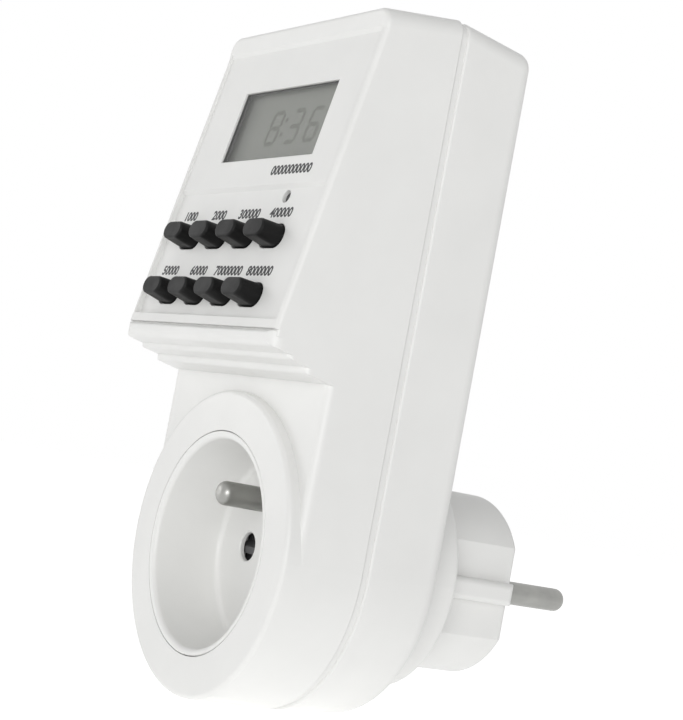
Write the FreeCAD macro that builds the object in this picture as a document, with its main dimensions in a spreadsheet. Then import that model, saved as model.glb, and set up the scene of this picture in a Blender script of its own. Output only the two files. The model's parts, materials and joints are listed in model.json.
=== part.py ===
import FreeCAD, Part
import math
import os

import Sketcher
from FreeCAD import Placement, Rotation, Vector

# Plug-in timer switch. Millimetres. The origin is the centre of the plug's end face,
# which meets the wall socket. +Y points into the wall, +X to the right seen from the
# front, +Z up. The socket in the front lies on the same axis as the plug.

SIZES = {
    # housing outline, seen from the front: a half circle about the plug axis, straight sides
    "half_width": 30.25,
    "top_height": 106.05,
    "corner_radius": 3.5,
    "wall": 2.0,
    # depths measured forward from the plug's end face
    "pedestal_depth": 19.1,
    "back_depth": 27.9,
    "lower_depth": 61.1,
    # from the lower front back to the seam
    "front_length": 14.7,
    # how far each form stands in front of the lower front
    "collar_rise": 2.4,
    "panel_rise": 1.85,
    "second_nose_rise": 5.3,
    "first_nose_rise": 9.3,
    "groove_rise": 12.4,
    "fascia_rise": 13.5,
    "form_rise": 16.9,
    # how fast the sides and the top draw in, per millimetre of depth
    "front_draft": 0.0187,
    "front_top_fall": 0.1525,
    "rear_draft": 0.0323,
    "rear_top_fall": 0.1145,
    "back_radius": 3.0,
    # seam
    "seam_gap": 0.25,
    "shadow_width": 1.25,
    "shadow_inset": 0.45,
    "tongue_reach": 1.8,
    "tongue_wall": 1.2,
    "tongue_gap": 0.2,
    # sloping panel, measured in its own frame: across, inward, up
    "panel_height": 99.44,
    "panel_tilt": 10.75,
    "panel_length": 59.6,
    "panel_wall": 2.25,
    "panel_side_radius": 1.0,
    "panel_border": 1.85,
    "display_sink": 0.5,
    "display_start": 0.3,
    "keypad_sink": 1.1,
    "keypad_start": 31.3,
    "keypad_end": 57.8,
    "ramp_slope": 1.3,
    "band_radius": 0.9,
    "band_blank": 5.0,
    # moulding under the panel
    "fascia_top": 40.5,
    "fascia_bottom": 37.8,
    "first_nose_bottom": 36.15,
    "second_nose_bottom": 34.2,
    "soffit_fall": 0.2,
    "nose_radius": 1.2,
    "fascia_radius": 1.6,
    "fascia_side_radius": 2.5,
    "groove_side_radius": 0.5,
    "lower_side_radius": 1.5,
    "collar_radius": 0.9,
    "collar_root": 7.0,
    # socket recess
    "collar_width": 8.3,
    "insert_gap": 0.15,
    "rim_rise": 0.05,
    "rim_width": 1.4,
    "rim_radius": 1.05,
    "rim_edge": 0.2,
    "recess_taper": 0.23,
    "recess_depth": 15.2,
    "floor_thickness": 3.0,
    "contact_sink": 0.3,
    "flange_margin": 4.25,
    "flange_thickness": 1.6,
    "contact_spacing": 19.0,
    "contact_hole": 2.9,
    "earth_offset": 10.0,
    "pin_radius": 2.4,
    "pin_play": 0.03,
    "pin_groove_radius": 2.2,
    "pin_groove_in": 0.6,
    "pin_groove_out": 0.3,
    "earth_pin_reach": 14.3,
    "earth_flange_radius": 4.0,
    # plug
    "pedestal_radius": 23.5,
    "plug_radius": 18.67,
    "plug_flat": 16.1,
    "rib_reach": 19.0,
    "rib_half_height": 2.25,
    "plug_face_wall": 3.0,
    "plug_bore": 14.4,
    "chamber_radius": 21.0,
    "chamber_wall": 2.5,
    "pin_length": 19.0,
    "pin_tip_radius": 1.9,
    "pin_flange_radius": 3.8,
    "pin_flange_thickness": 1.5,
    "pin_tail_radius": 1.5,
    "pin_tail_length": 8.5,
    "earth_bore": 2.45,
    "earth_sleeve_wall": 0.75,
    "earth_sleeve_length": 15.0,
    "earth_sleeve_gap": 0.2,
    "earth_sleeve_flange": 0.9,
    "earth_entry": 3.0,
    "retainer_thickness": 3.0,
    "retainer_play": 0.3,
    # display
    "window_across": 1.2,
    "window_margin": 12.65,
    "window_top": 9.3,
    "window_bottom": 24.7,
    "window_lip": 0.4,
    "rebate": 2.2,
    "lens_sink": 0.12,
    "lens_play": 0.15,
    "lens_thickness": 0.5,
    "gasket_thickness": 0.45,
    "gasket_gap": 0.05,
    "glass_thickness": 1.1,
    "glass_overhang": 1.9,
    "glass_edge": 1.0,
    "glass_play": 0.2,
    "strip_width": 2.0,
    "strip_end": 1.5,
    "strip_play": 0.15,
    "frame_wall": 1.6,
    "frame_rib": 1.5,
    "frame_rim": 2.0,
    "board_depth": 9.75,
    "board_thickness": 1.6,
    # keys
    "key_columns": 4,
    "key_margin": 11.75,
    "key_pitch": 10.85,
    "upper_row": 41.0,
    "lower_row": 52.9,
    "key_half_gap": 1.85,
    "key_root_radius": 2.2,
    "key_face_radius": 1.75,
    "key_reach": 3.45,
    "key_edge": 0.5,
    "key_clearance": 0.3,
    "key_flange": 0.75,
    "key_flange_thickness": 1.0,
    "key_stem": 1.5,
    "key_travel": 1.2,
    "dome_radius": 2.9,
    "dome_tip": 1.7,
    "dome_height": 1.0,
    "mat_thickness": 0.8,
    "mat_margin": 4.5,
    "dome_gap": 0.1,
    "dome_sink": 0.2,
    "mat_top": 3.7,
    "flange_gap": 0.15,
    # reset button
    "reset_down": 32.9,
    "reset_hole": 1.3,
    "reset_radius": 1.0,
    "reset_sink": 0.6,
    "reset_flange": 0.9,
    "reset_travel": 0.8,
    # fasteners
    "housing_screw_margin": 7.75,
    "housing_screw_high": 97.0,
    "housing_screw_low": 29.6,
    "housing_screw_radius": 1.45,
    "housing_head_radius": 2.8,
    "housing_head_height": 2.0,
    "housing_screw_cover": 8.7,
    "housing_head_play": 0.5,
    "housing_shank_play": 0.35,
    "boss_radius": 3.4,
    "counterbore_depth": 5.5,
    "pilot_past": 2.0,
    "small_screw_radius": 0.85,
    "small_head_radius": 1.9,
    "small_head_height": 1.2,
    "small_screw_play": 0.25,
    "small_head_play": 0.4,
    "screw_clearance": 0.08,
    "recess_reach": 0.62,
    "recess_blade": 0.16,
    "recess_sink": 0.55,
    "insert_screw_bite": 2.8,
    "insert_screw_shift": 0.2,
    "bite_gap": 0.4,
    "logic_screw_bite": 5.0,
    "logic_boss_margin": 4.95,
    "logic_boss_high": 12.0,
    "logic_boss_radius": 1.9,
    "logic_edge": 7.5,
    "logic_edge_low": 11.05,
    "mat_gap": 0.3,
    "retainer_screw_across": 8.0,
    "retainer_screw_down": 8.5,
    "retainer_boss_radius": 2.0,
    "retainer_screw_bite": 3.2,
    "block_screw_bite": 2.0,
    "block_screw_inset": 3.2,
    "block_screw_high_across": 6.8,
    "block_screw_low_across": 10.5,
    # shutter and contact block
    "block_half_width": 16.5,
    "block_top": 14.5,
    "block_bottom": 17.0,
    "block_side": 1.9,
    "shutter_pocket": 1.9,
    "shutter_thickness": 2.2,
    "shutter_play": 0.2,
    "shutter_side_play": 0.3,
    "shutter_ramp": 1.3,
    "shutter_edge": 0.4,
    "shutter_half_height": 3.4,
    "shutter_rib": 1.45,
    "shutter_rib_nose": 1.4,
    "shutter_travel": 6.4,
    "spring_radius": 1.2,
    "spring_wire": 0.4,
    "spring_turns": 9,
    "clip_wall": 0.75,
    "contact_slot": 0.4,
    "plate_thickness": 1.0,
    "plate_margin": 0.3,
    "strip_offset": 2.5,
    "strip_band": 3.0,
    "strip_top": 24.0,
    "strap_side_gap": 1.8,
    "strap_thickness": 0.8,
    "sheet_thickness": 0.5,
    "sheet_gap": 2.2,
    # power board
    "power_gap": 2.9,
    "power_margin": 5.25,
    "power_low": 38.0,
    "power_high": 90.0,
    "power_thickness": 1.6,
    "post_radius": 2.6,
    "post_inset_across": 3.0,
    "post_inset": 4.5,
    # parts on the power board: places measured from its lower edge and its nearer side, and for
    # the large capacitor and the fuse link across from its middle
    "relay_side": 2.5,
    "relay_low": 15.6,
    "relay_width": 28.5,
    "relay_height": 12.7,
    "relay_depth": 15.2,
    "x2_across": 3.5,
    "x2_low": 6.6,
    "x2_width": 18.0,
    "x2_height": 8.0,
    "x2_depth": 14.5,
    "case_radius": 0.7,
    "smoothing_side": 8.0,
    "smoothing_low": 22.0,
    "smoothing_radius": 4.2,
    "smoothing_depth": 15.0,
    "varistor_side": 7.0,
    "varistor_low": 9.5,
    "varistor_radius": 4.5,
    "varistor_thickness": 4.0,
    "lead_radius": 0.4,
    "lead_spread": 2.5,
    "lead_length": 3.0,
    "link_across": -9.0,
    "link_low": 10.0,
    "link_radius": 1.8,
    "link_length": 9.0,
    "link_cap": 2.0,
    "row_low": 32.0,
    "diode_side": 5.0,
    "diode_radius": 1.35,
    "diode_length": 5.2,
    "diode_pitch": 3.6,
    "resistor_side": 18.5,
    "resistor_radius": 1.5,
    "resistor_length": 6.0,
    "resistor_pitch": 4.2,
    "transistor_side": 3.5,
    "transistor_low": 30.5,
    "transistor_radius": 2.3,
    "transistor_flat": 0.9,
    "transistor_lift": 1.7,
    "transistor_depth": 6.5,
    "cell_side": 11.5,
    "cell_low": 42.0,
    "cell_radius": 7.0,
    "cell_thickness": 6.0,
    "cell_lift": 0.2,
    "clip_half_width": 1.5,
    "clip_thickness": 0.5,
    "clip_overlap": 4.0,
    # parts on the logic board
    "chip_down": 21.0,
    "chip_size": 12.0,
    "chip_height": 1.6,
    "chip_legs": 5,
    "leg_pitch": 2.25,
    "leg_width": 0.8,
    "leg_reach": 1.4,
    "crystal_across": 10.0,
    "crystal_down": 31.0,
    "crystal_radius": 1.5,
    "crystal_length": 6.5,
    # flat cable and wires
    "cable_side": 11.0,
    "cable_width": 12.0,
    "cable_thickness": 0.8,
    "cable_down": 4.0,
    "cable_slack": 5.0,
    "cable_gap": 0.35,
    "wire_radius": 1.0,
    "wire_bend": 2.2,
    "wire_landing": 3.5,
    "wire_gap": 3.0,
    "wire_overlap": 4.0,
}


class Size:
    """A length or a ratio together with the sheet formula that gives it."""

    def __init__(self, value, formula):
        self.value = value
        self.formula = formula

    def __add__(self, other):
        other = as_size(other)
        return Size(self.value + other.value, f"({self.formula} + {other.formula})")

    def __radd__(self, other):
        return as_size(other) + self

    def __sub__(self, other):
        other = as_size(other)
        return Size(self.value - other.value, f"({self.formula} - {other.formula})")

    def __rsub__(self, other):
        return as_size(other) - self

    def __mul__(self, other):
        other = as_size(other)
        return Size(self.value * other.value, f"({self.formula} * {other.formula})")

    def __rmul__(self, other):
        return as_size(other) * self

    def __truediv__(self, other):
        other = as_size(other)
        return Size(self.value / other.value, f"({self.formula} / {other.formula})")

    def __neg__(self):
        return Size(-self.value, f"(-1 * {self.formula})")


def as_size(number):
    if isinstance(number, Size):
        return number
    return Size(float(number), f"({float(number):.6g})")


def cosine(angle):
    return Size(math.cos(math.radians(angle.value)), f"cos({angle.formula} * 1 deg)")


def sine(angle):
    return Size(math.sin(math.radians(angle.value)), f"sin({angle.formula} * 1 deg)")


class Sheet:
    """Gives each driving dimension by its name."""

    def __getattr__(self, name):
        return Size(SIZES[name], f"sizes.{name}")


doc = FreeCAD.newDocument("timer_switch")
cells = doc.addObject("Spreadsheet::Sheet", "sizes")
for row, (alias, number) in enumerate(SIZES.items(), start=1):
    cells.set(f"A{row}", alias)
    cells.set(f"B{row}", str(number))
    cells.setAlias(f"B{row}", alias)
doc.recompute()

S = Sheet()
NODES = []
UPRIGHT = Rotation()
ALONG_Y = Rotation(Vector(1, 0, 0), -90)
ALONG_X = Rotation(Vector(0, 1, 0), 90)
PAST = 1.0


# Planes and places that several pieces share

seam_depth = S.lower_depth - S.front_length
seam = -seam_depth
lower_front = -S.lower_depth
panel_depth = S.lower_depth + S.panel_rise
collar_depth = S.lower_depth + S.collar_rise
collar_front = -collar_depth
form_depth = S.lower_depth + S.form_rise
back = -S.back_depth
pedestal = -S.pedestal_depth
inner_front = lower_front + S.wall
inner_back = back - S.wall
rim_front = collar_front - S.rim_rise
floor_front = collar_front + S.recess_depth
floor_back = floor_front + S.floor_thickness
shutter_back = floor_back + S.shutter_thickness + 2 * S.shutter_play
sheet_back = inner_back - S.sheet_gap
plate_back = sheet_back - S.sheet_thickness
block_back = plate_back - S.plate_thickness
channel_half = S.block_half_width - S.block_side
channel_low = -S.shutter_half_height - S.shutter_travel - 2 * S.shutter_side_play
channel_high = S.shutter_half_height + S.shutter_side_play
power_back = inner_back - S.power_gap
power_front = power_back - S.power_thickness
power_half = S.half_width - S.power_margin
half_spacing = S.contact_spacing / 2
collar_bore = S.half_width - S.collar_width
insert_outer = collar_bore - S.insert_gap
recess_mouth = insert_outer - S.rim_width
flange_radius = S.half_width - S.flange_margin
panel_inner = S.display_sink + S.panel_wall
board_back = S.board_depth + S.board_thickness
window_half = S.half_width - S.window_margin
lens_back = S.display_sink + S.window_lip + S.lens_thickness
glass_start = lens_back + S.gasket_thickness + S.gasket_gap
glass_end = glass_start + 2 * S.glass_thickness
display_middle = -(S.window_top + S.window_bottom) / 2
display_half = (S.window_bottom - S.window_top) / 2
key_left = S.key_margin - S.half_width
last_column = key_left + (SIZES["key_columns"] - 1) * S.key_pitch
between_rows = (S.upper_row + S.lower_row) / 2
mat_front = S.board_depth - S.mat_thickness
dome_top = mat_front - S.dome_height
clip_radius = S.earth_bore + S.clip_wall
spring_outer = S.spring_radius + S.spring_wire / 2
spring_axis = floor_back + spring_outer + S.shutter_play
retainer_back = -S.plug_face_wall - S.pin_flange_thickness - S.retainer_thickness
screw_hole = S.small_screw_radius + S.small_screw_play
small_pilot = S.small_screw_radius + S.screw_clearance
screw_tip = S.lower_depth - S.housing_screw_cover


# Helpers that add one feature and bind its sizes to the sheet

def bind(item, prop, size):
    item.setExpression(prop, as_size(size).formula)


def place(item, across, along, height, rotation=UPRIGHT):
    item.Placement = Placement(Vector(), rotation)
    bind(item, "Placement.Base.x", across)
    bind(item, "Placement.Base.y", along)
    bind(item, "Placement.Base.z", height)
    return item


def box(name, low, high):
    item = doc.addObject("Part::Box", name)
    for prop, start, end in zip(("Length", "Width", "Height"), low, high):
        bind(item, prop, as_size(end) - start)
    return place(item, *low)


def rod(name, radius, start, length, rotation=ALONG_Y):
    item = doc.addObject("Part::Cylinder", name)
    bind(item, "Radius", radius)
    bind(item, "Height", length)
    return place(item, *start, rotation)


def cone(name, first_radius, second_radius, start, length):
    item = doc.addObject("Part::Cone", name)
    bind(item, "Radius1", first_radius)
    bind(item, "Radius2", second_radius)
    bind(item, "Height", length)
    return place(item, *start, ALONG_Y)


def wedge(name, front, back):
    """A block whose front and back rectangles differ: (along, half width, low, high)."""
    item = doc.addObject("Part::Wedge", name)
    for tag, rectangle in (("", front), ("2", back)):
        _, half_width, low, high = rectangle
        bind(item, f"X{tag}min", -as_size(half_width))
        bind(item, f"X{tag}max", half_width)
        bind(item, f"Z{tag}min", low)
        bind(item, f"Z{tag}max", high)
    bind(item, "Ymin", front[0])
    bind(item, "Ymax", back[0])
    return item


def fuse(name, *items):
    item = doc.addObject("Part::MultiFuse", name)
    item.Shapes = list(items)
    item.Refine = True
    return item


def common(name, base, tool):
    item = doc.addObject("Part::Common", name)
    item.Base = base
    item.Tool = tool
    return item


def cut(name, base, *tools):
    item = doc.addObject("Part::Cut", name)
    item.Base = base
    item.Tool = tools[0] if len(tools) == 1 else group(f"{name}_tools", *tools)
    return item


def group(name, *items):
    item = doc.addObject("Part::Compound", name)
    item.Links = list(items)
    return item


def fillet(name, base, *choices):
    """Rounds the edges of base for which a choice's test is true: (radius, test)."""
    doc.recompute()
    edges = []
    for radius, test in choices:
        for number, edge in enumerate(base.Shape.Edges, start=1):
            if test(edge):
                edges.append((number, radius.value, radius.value))
    item = doc.addObject("Part::Fillet", name)
    item.Base = base
    item.Edges = edges
    return item


def middle(edge):
    return edge.valueAt((edge.FirstParameter + edge.LastParameter) / 2)


def near(first, second, reach=0.02):
    return abs(first - as_size(second).value) < reach


def in_panel_frame(item):
    """Moves a piece built as (across, inward, up) onto the sloping panel."""
    item.Placement = Placement(Vector(), Rotation(Vector(1, 0, 0), -S.panel_tilt.value))
    bind(item, "Placement.Base.y", -panel_depth)
    bind(item, "Placement.Base.z", S.panel_height)
    bind(item, "Placement.Rotation.Angle", -S.panel_tilt)
    return item


def panel_point(inward, up):
    """World depth axis and height of a point given in the panel's frame."""
    along = inward * cosine(S.panel_tilt) + up * sine(S.panel_tilt) - panel_depth
    height = up * cosine(S.panel_tilt) - inward * sine(S.panel_tilt) + S.panel_height
    return along, height


def sketch_polygon(body, plane, points):
    """A closed outline of straight lines whose corners are all bound to the sheet."""
    sketch = body.newObject("Sketcher::SketchObject", f"{body.Name}_outline")
    origin = [item for item in body.Origin.OriginFeatures if item.Role == plane][0]
    sketch.AttachmentSupport = [(origin, "")]
    sketch.MapMode = "FlatFace"
    corners = [(as_size(u), as_size(v)) for u, v in points]
    count = len(corners)
    for index in range(count):
        (u0, v0), (u1, v1) = corners[index], corners[(index + 1) % count]
        start, end = Vector(u0.value, v0.value, 0), Vector(u1.value, v1.value, 0)
        sketch.addGeometry(Part.LineSegment(start, end))
    for index in range(count):
        sketch.addConstraint(
            Sketcher.Constraint("Coincident", index, 2, (index + 1) % count, 1)
        )
    for index, corner in enumerate(corners):
        for kind, size in zip(("DistanceX", "DistanceY"), corner):
            number = sketch.addConstraint(
                Sketcher.Constraint(kind, -1, 1, index, 1, size.value)
            )
            sketch.setExpression(f"Constraints[{number}]", size.formula)
    return sketch


def padded(name, plane, points, length):
    """A body padded evenly to both sides of one of its own origin planes."""
    body = doc.addObject("PartDesign::Body", name)
    sketch = sketch_polygon(body, plane, points)
    pad = body.newObject("PartDesign::Pad", f"{name}_pad")
    pad.Profile = sketch
    pad.SideType = "Symmetric"
    bind(pad, "Length", length)
    return body


def revolved(name, points):
    """A body turned about the Y axis from (radius, along) points."""
    body = doc.addObject("PartDesign::Body", name)
    sketch = sketch_polygon(body, "XY_Plane", points)
    turn = body.newObject("PartDesign::Revolution", f"{name}_turn")
    turn.Profile = sketch
    turn.ReferenceAxis = (sketch, ["V_Axis"])
    turn.Angle = 360
    return body


def round_body(body, *choices):
    """Fillets a body's edges for which a choice's test is true: (radius, test)."""
    for radius, test in choices:
        doc.recompute()
        tip = body.Tip
        names = [
            f"Edge{number}"
            for number, edge in enumerate(tip.Shape.Edges, start=1)
            if test(edge)
        ]
        feature = body.newObject("PartDesign::Fillet", f"{body.Name}_round")
        feature.Base = (tip, names)
        bind(feature, "Radius", radius)
    return body


def screw(name, across, height, seat, length, radius, head_radius, head_height, inward=-1):
    """A pan-head screw along Y: its head sits on seat, its shank runs inward from it."""
    depth = head_height * S.recess_sink
    arm = head_radius * S.recess_reach
    blade = head_radius * S.recess_blade
    if inward > 0:
        shank_start, head_start = seat, seat - head_height
        low, high = head_start - PAST, head_start + depth
    else:
        shank_start, head_start = seat - length, seat
        low, high = seat + head_height - depth, seat + head_height + PAST
    shank = rod(f"{name}_shank", radius, (across, shank_start, height), length)
    head = rod(f"{name}_head", head_radius, (across, head_start, height), head_height)
    level = box(f"{name}_level", (across - arm, low, height - blade),
                (across + arm, high, height + blade))
    upright = box(f"{name}_upright", (across - blade, low, height - arm),
                  (across + blade, high, height + arm))
    return cut(f"{name}_driven", fuse(name, shank, head), level, upright)


def node(name, item):
    """Names a finished sub-part: its label is the name of its file."""
    item.Label = name
    NODES.append(item)
    return item


# Housing outline

def outline(name, inset, front_depth, back_depth, front_sizes, back_sizes, corner=None):
    """The drafted housing outline between two depths, set in all round by inset."""
    front_half, front_top = (size - inset for size in front_sizes)
    back_half, back_top = (size - inset for size in back_sizes)
    bottom = cone(f"{name}_round", front_half, back_half,
                  (0, -front_depth, 0), front_depth - back_depth)
    upper = wedge(f"{name}_straight", (-front_depth, front_half, 0, front_top),
                  (-back_depth, back_half, 0, back_top))
    whole = fuse(f"{name}_whole", bottom, upper)
    radius = S.corner_radius - inset if corner is None else corner
    limit = front_half.value - 1.5

    def top_corner(edge):
        point = middle(edge)
        return abs(point.x) > limit and near(point.z, (front_top + back_top) / 2, 0.2)

    return fillet(name, whole, (radius, top_corner))


def front_outline(name, inset, corner=None):
    run = form_depth - seam_depth
    front_sizes = (S.half_width - S.front_draft * run, S.top_height - S.front_top_fall * run)
    back_sizes = (S.half_width, S.top_height)
    return outline(name, inset, form_depth, seam_depth, front_sizes, back_sizes, corner)


def rear_outline(name, inset, corner=None):
    run = seam_depth - S.back_depth
    front_sizes = (S.half_width, S.top_height)
    back_sizes = (S.half_width - S.rear_draft * run, S.top_height - S.rear_top_fall * run)
    return outline(name, inset, seam_depth, S.back_depth, front_sizes, back_sizes, corner)


def front_half_width(depth):
    return S.half_width - S.front_draft * (depth - seam_depth)


SIDE = S.half_width + 10 * PAST
ABOVE = S.top_height + 10 * PAST


def slab(name, form, front, rear, low=-SIDE, high=ABOVE):
    """The part of an outline between two planes along Y and two heights."""
    return common(name, form, box(f"{name}_zone", (-SIDE, front, low), (SIDE, rear, high)))


def side_edge_at(plane, reach=0.6):
    def test(edge):
        point = middle(edge)
        return (
            abs(point.x) > S.half_width.value - 1.6
            and near(point.y, plane, reach)
            and abs(edge.BoundBox.YLength) < 0.2 + edge.BoundBox.ZLength * 0.25
        )
    return test


def cross_edge_at(plane, height, reach=0.06):
    def test(edge):
        point = middle(edge)
        return (
            near(point.y, plane, reach)
            and near(point.z, height, reach)
            and edge.BoundBox.XLength > S.half_width.value
        )
    return test


# Front shell

def moulding(name, form, depth, bottom, top, choices):
    """One layer of the moulding under the panel, its soffit falling towards the back."""
    run = depth - seam_depth
    layer = wedge(f"{name}_block", (-depth, SIDE, bottom, top),
                  (seam, SIDE, bottom - S.soffit_fall * run, top))
    return fillet(name, common(f"{name}_raw", form, layer), *choices)


def front_outside():
    form = front_outline("front_form", as_size(0))
    lower = slab("lower_raw", form, lower_front, seam)
    lower = fillet("lower", lower, (S.lower_side_radius, side_edge_at(lower_front)))

    band_front = -panel_depth
    blank_low = S.panel_height - S.band_blank
    blank = slab("band_blank", form, band_front, seam, blank_low)
    blank = fillet("band_rounded", blank, (S.band_radius, lambda edge: (
        near(middle(edge).y, band_front) and not near(middle(edge).z, blank_low))))
    band = slab("band", blank, band_front - PAST, seam, S.panel_height)

    thick = panel_depth - seam_depth
    panel_box = in_panel_frame(group("panel_zone", box(
        "panel_zone_box", (-SIDE, 0, -S.panel_length), (SIDE, thick, 2.5 * PAST))))
    panel = common("panel_raw", form, panel_box)

    def panel_side(edge):
        point = middle(edge)
        inward = (point.y + panel_depth.value) * cosine(S.panel_tilt).value
        inward -= (point.z - S.panel_height.value) * sine(S.panel_tilt).value
        return abs(point.x) > S.half_width.value - 2 and abs(inward) < 0.02

    panel = fillet("panel", panel, (S.panel_side_radius, panel_side))

    groove_depth = S.lower_depth + S.groove_rise
    groove_top = S.fascia_top + PAST
    groove = slab("groove_raw", form, -groove_depth, seam, S.fascia_top - PAST, groove_top)
    groove = fillet("groove", groove, (S.groove_side_radius, side_edge_at(-groove_depth, 0.1)))

    fascia_depth = S.lower_depth + S.fascia_rise
    fascia_edges = (
        (S.fascia_side_radius, side_edge_at(-fascia_depth, 0.1)),
        (S.fascia_radius, cross_edge_at(-fascia_depth, S.fascia_bottom)),
        (S.nose_radius / 2, cross_edge_at(-fascia_depth, S.fascia_top)),
    )
    fascia = moulding("fascia", form, fascia_depth, S.fascia_bottom, S.fascia_top, fascia_edges)
    layers = [lower, band, panel, groove, fascia]
    noses = (
        ("first_nose", S.first_nose_rise, S.first_nose_bottom),
        ("second_nose", S.second_nose_rise, S.second_nose_bottom),
    )
    for name, rise, bottom in noses:
        depth = S.lower_depth + rise
        choices = (
            (S.nose_radius, side_edge_at(-depth, 0.1)),
            (S.nose_radius, cross_edge_at(-depth, bottom)),
        )
        layers.append(moulding(name, form, depth, bottom, S.fascia_top - PAST / 2, choices))

    collar_start = front_half_width(collar_depth)
    collar_root = collar_depth - S.collar_root
    collar = cone("collar_raw", collar_start, front_half_width(collar_root),
                  (0, collar_front, 0), collar_depth - collar_root)
    collar = fillet("collar", collar, (S.collar_radius,
                                       lambda edge: near(middle(edge).y, collar_front)))
    return fuse("front_outside", *layers, collar)


def front_cavity():
    form = front_outline("front_cavity_form", S.wall)
    start, panel_top = panel_point(panel_inner, as_size(0))
    end, panel_low = panel_point(panel_inner, 1.2 * PAST - S.keypad_end)
    ledge = S.fascia_bottom + S.wall
    shelf = S.second_nose_bottom + PAST
    points = (
        (seam + PAST, -SIDE),
        (seam + PAST, ABOVE),
        (start, ABOVE),
        (start, panel_top),
        (end, panel_low),
        (end, ledge),
        (inner_front, shelf),
        (inner_front, -SIDE),
    )
    profile = padded("front_cavity_profile", "YZ_Plane", points, 2 * SIDE)
    return common("front_cavity", form, profile)


def oblong(name, across, up, start, end, radius):
    """A key-shaped bar along the panel's inward direction, with round ends."""
    left = across - S.key_half_gap
    right = across + S.key_half_gap
    web = box(f"{name}_web", (left, start, up - radius), (right, end, up + radius))
    ends = [
        rod(f"{name}_end{index}", radius, (place_x, start, up), as_size(end) - start)
        for index, place_x in enumerate((left, right))
    ]
    return fuse(name, web, *ends)


def key_places():
    places = []
    for row, down in enumerate((S.upper_row, S.lower_row)):
        for column in range(int(SIZES["key_columns"])):
            number = row * int(SIZES["key_columns"]) + column + 1
            places.append((number, key_left + column * S.key_pitch, -down))
    return places


def panel_openings():
    """Everything cut through the sloping panel, in the panel's frame."""
    middle_x = S.window_across
    half = window_half
    across = S.half_width - S.panel_border
    through = panel_inner + PAST
    seat = S.display_sink + S.window_lip
    display_high = -S.display_start
    display_mouth = display_high + (S.display_sink + PAST) * S.ramp_slope
    keypad_low = -S.keypad_end
    keypad_high = -S.keypad_start
    keypad_mouth = keypad_high + (S.keypad_sink + PAST) * S.ramp_slope
    parts = [
        wedge("display_sunk", (-PAST, across, keypad_high, display_mouth),
              (S.display_sink, across, keypad_high, display_high)),
        wedge("keypad_sunk", (-PAST, across, keypad_low, keypad_mouth),
              (S.keypad_sink, across, keypad_low, keypad_high)),
        box("window_hole", (middle_x - half, -PAST, -S.window_bottom),
            (middle_x + half, through, -S.window_top)),
        box("window_rebate", (middle_x - half - S.rebate, seat, -S.window_bottom - S.rebate),
            (middle_x + half + S.rebate, through, -S.window_top + S.rebate)),
        rod("reset_opening", S.reset_hole, (last_column, -PAST, -S.reset_down),
            through + PAST),
    ]
    for number, across, up in key_places():
        radius = S.key_root_radius + S.key_clearance
        parts.append(oblong(f"key_opening{number}", across, up, -PAST, through, radius))
    return in_panel_frame(group("panel_openings", *parts))


def housing_screw_places():
    return [
        (f"{side}_{level}", sign * (S.half_width - S.housing_screw_margin), height)
        for side, sign in (("left", -1), ("right", 1))
        for level, height in (("high", S.housing_screw_high), ("low", S.housing_screw_low))
    ]


def insert_screw_places():
    reach = (insert_outer + flange_radius) / 2 + S.insert_screw_shift
    places = []
    for index, angle in enumerate((90, 210, 330)):
        direction = math.radians(angle)
        places.append((index, reach * round(math.cos(direction), 6),
                       reach * round(math.sin(direction), 6)))
    return places


def logic_boss_places():
    return [
        (f"{side}{level}", sign * (S.half_width - S.logic_boss_margin), -down)
        for side, sign in (("left", -1), ("right", 1))
        for level, down in (("high", S.logic_boss_high), ("low", between_rows))
    ]


def front_shell():
    pilot = S.housing_screw_radius + S.screw_clearance
    pilot_end = screw_tip + S.pilot_past
    bosses = []
    pilots = []
    for tag, across, height in housing_screw_places():
        reach = (panel_depth if "high" in tag else S.lower_depth) - S.wall / 2
        bosses.append(rod(f"boss_{tag}", S.boss_radius, (across, -reach, height),
                          reach - seam_depth))
        pilots.append(rod(f"pilot_{tag}", pilot, (across, -pilot_end, height),
                          pilot_end - seam_depth + PAST))
    for index, across, height in insert_screw_places():
        pilots.append(rod(f"insert_pilot{index}", small_pilot,
                          (across, inner_front - S.insert_screw_bite, height),
                          S.insert_screw_bite + PAST))
    logic = []
    logic_pilots = []
    for tag, across, up in logic_boss_places():
        start = panel_inner - PAST
        logic.append(rod(f"logic_boss_{tag}", S.logic_boss_radius, (across, start, up),
                         S.board_depth - start))
        logic_pilots.append(rod(f"logic_pilot_{tag}", small_pilot,
                                (across, S.board_depth - S.logic_screw_bite, up),
                                S.logic_screw_bite + PAST))
    logic = in_panel_frame(group("logic_bosses", *logic))
    logic_pilots = in_panel_frame(group("logic_pilots", *logic_pilots))
    bore = rod("collar_opening", collar_bore, (0, collar_front - PAST, 0),
               collar_depth - S.lower_depth + S.wall + 2 * PAST)
    hollow = cut("front_hollow", front_outside(), front_cavity(), bore, panel_openings())
    return node("front_shell", cut("front_shell", fuse("front_solid", hollow, *bosses, logic),
                                   *pilots, logic_pilots))


# Rear shell with pedestal and plug body

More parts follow.
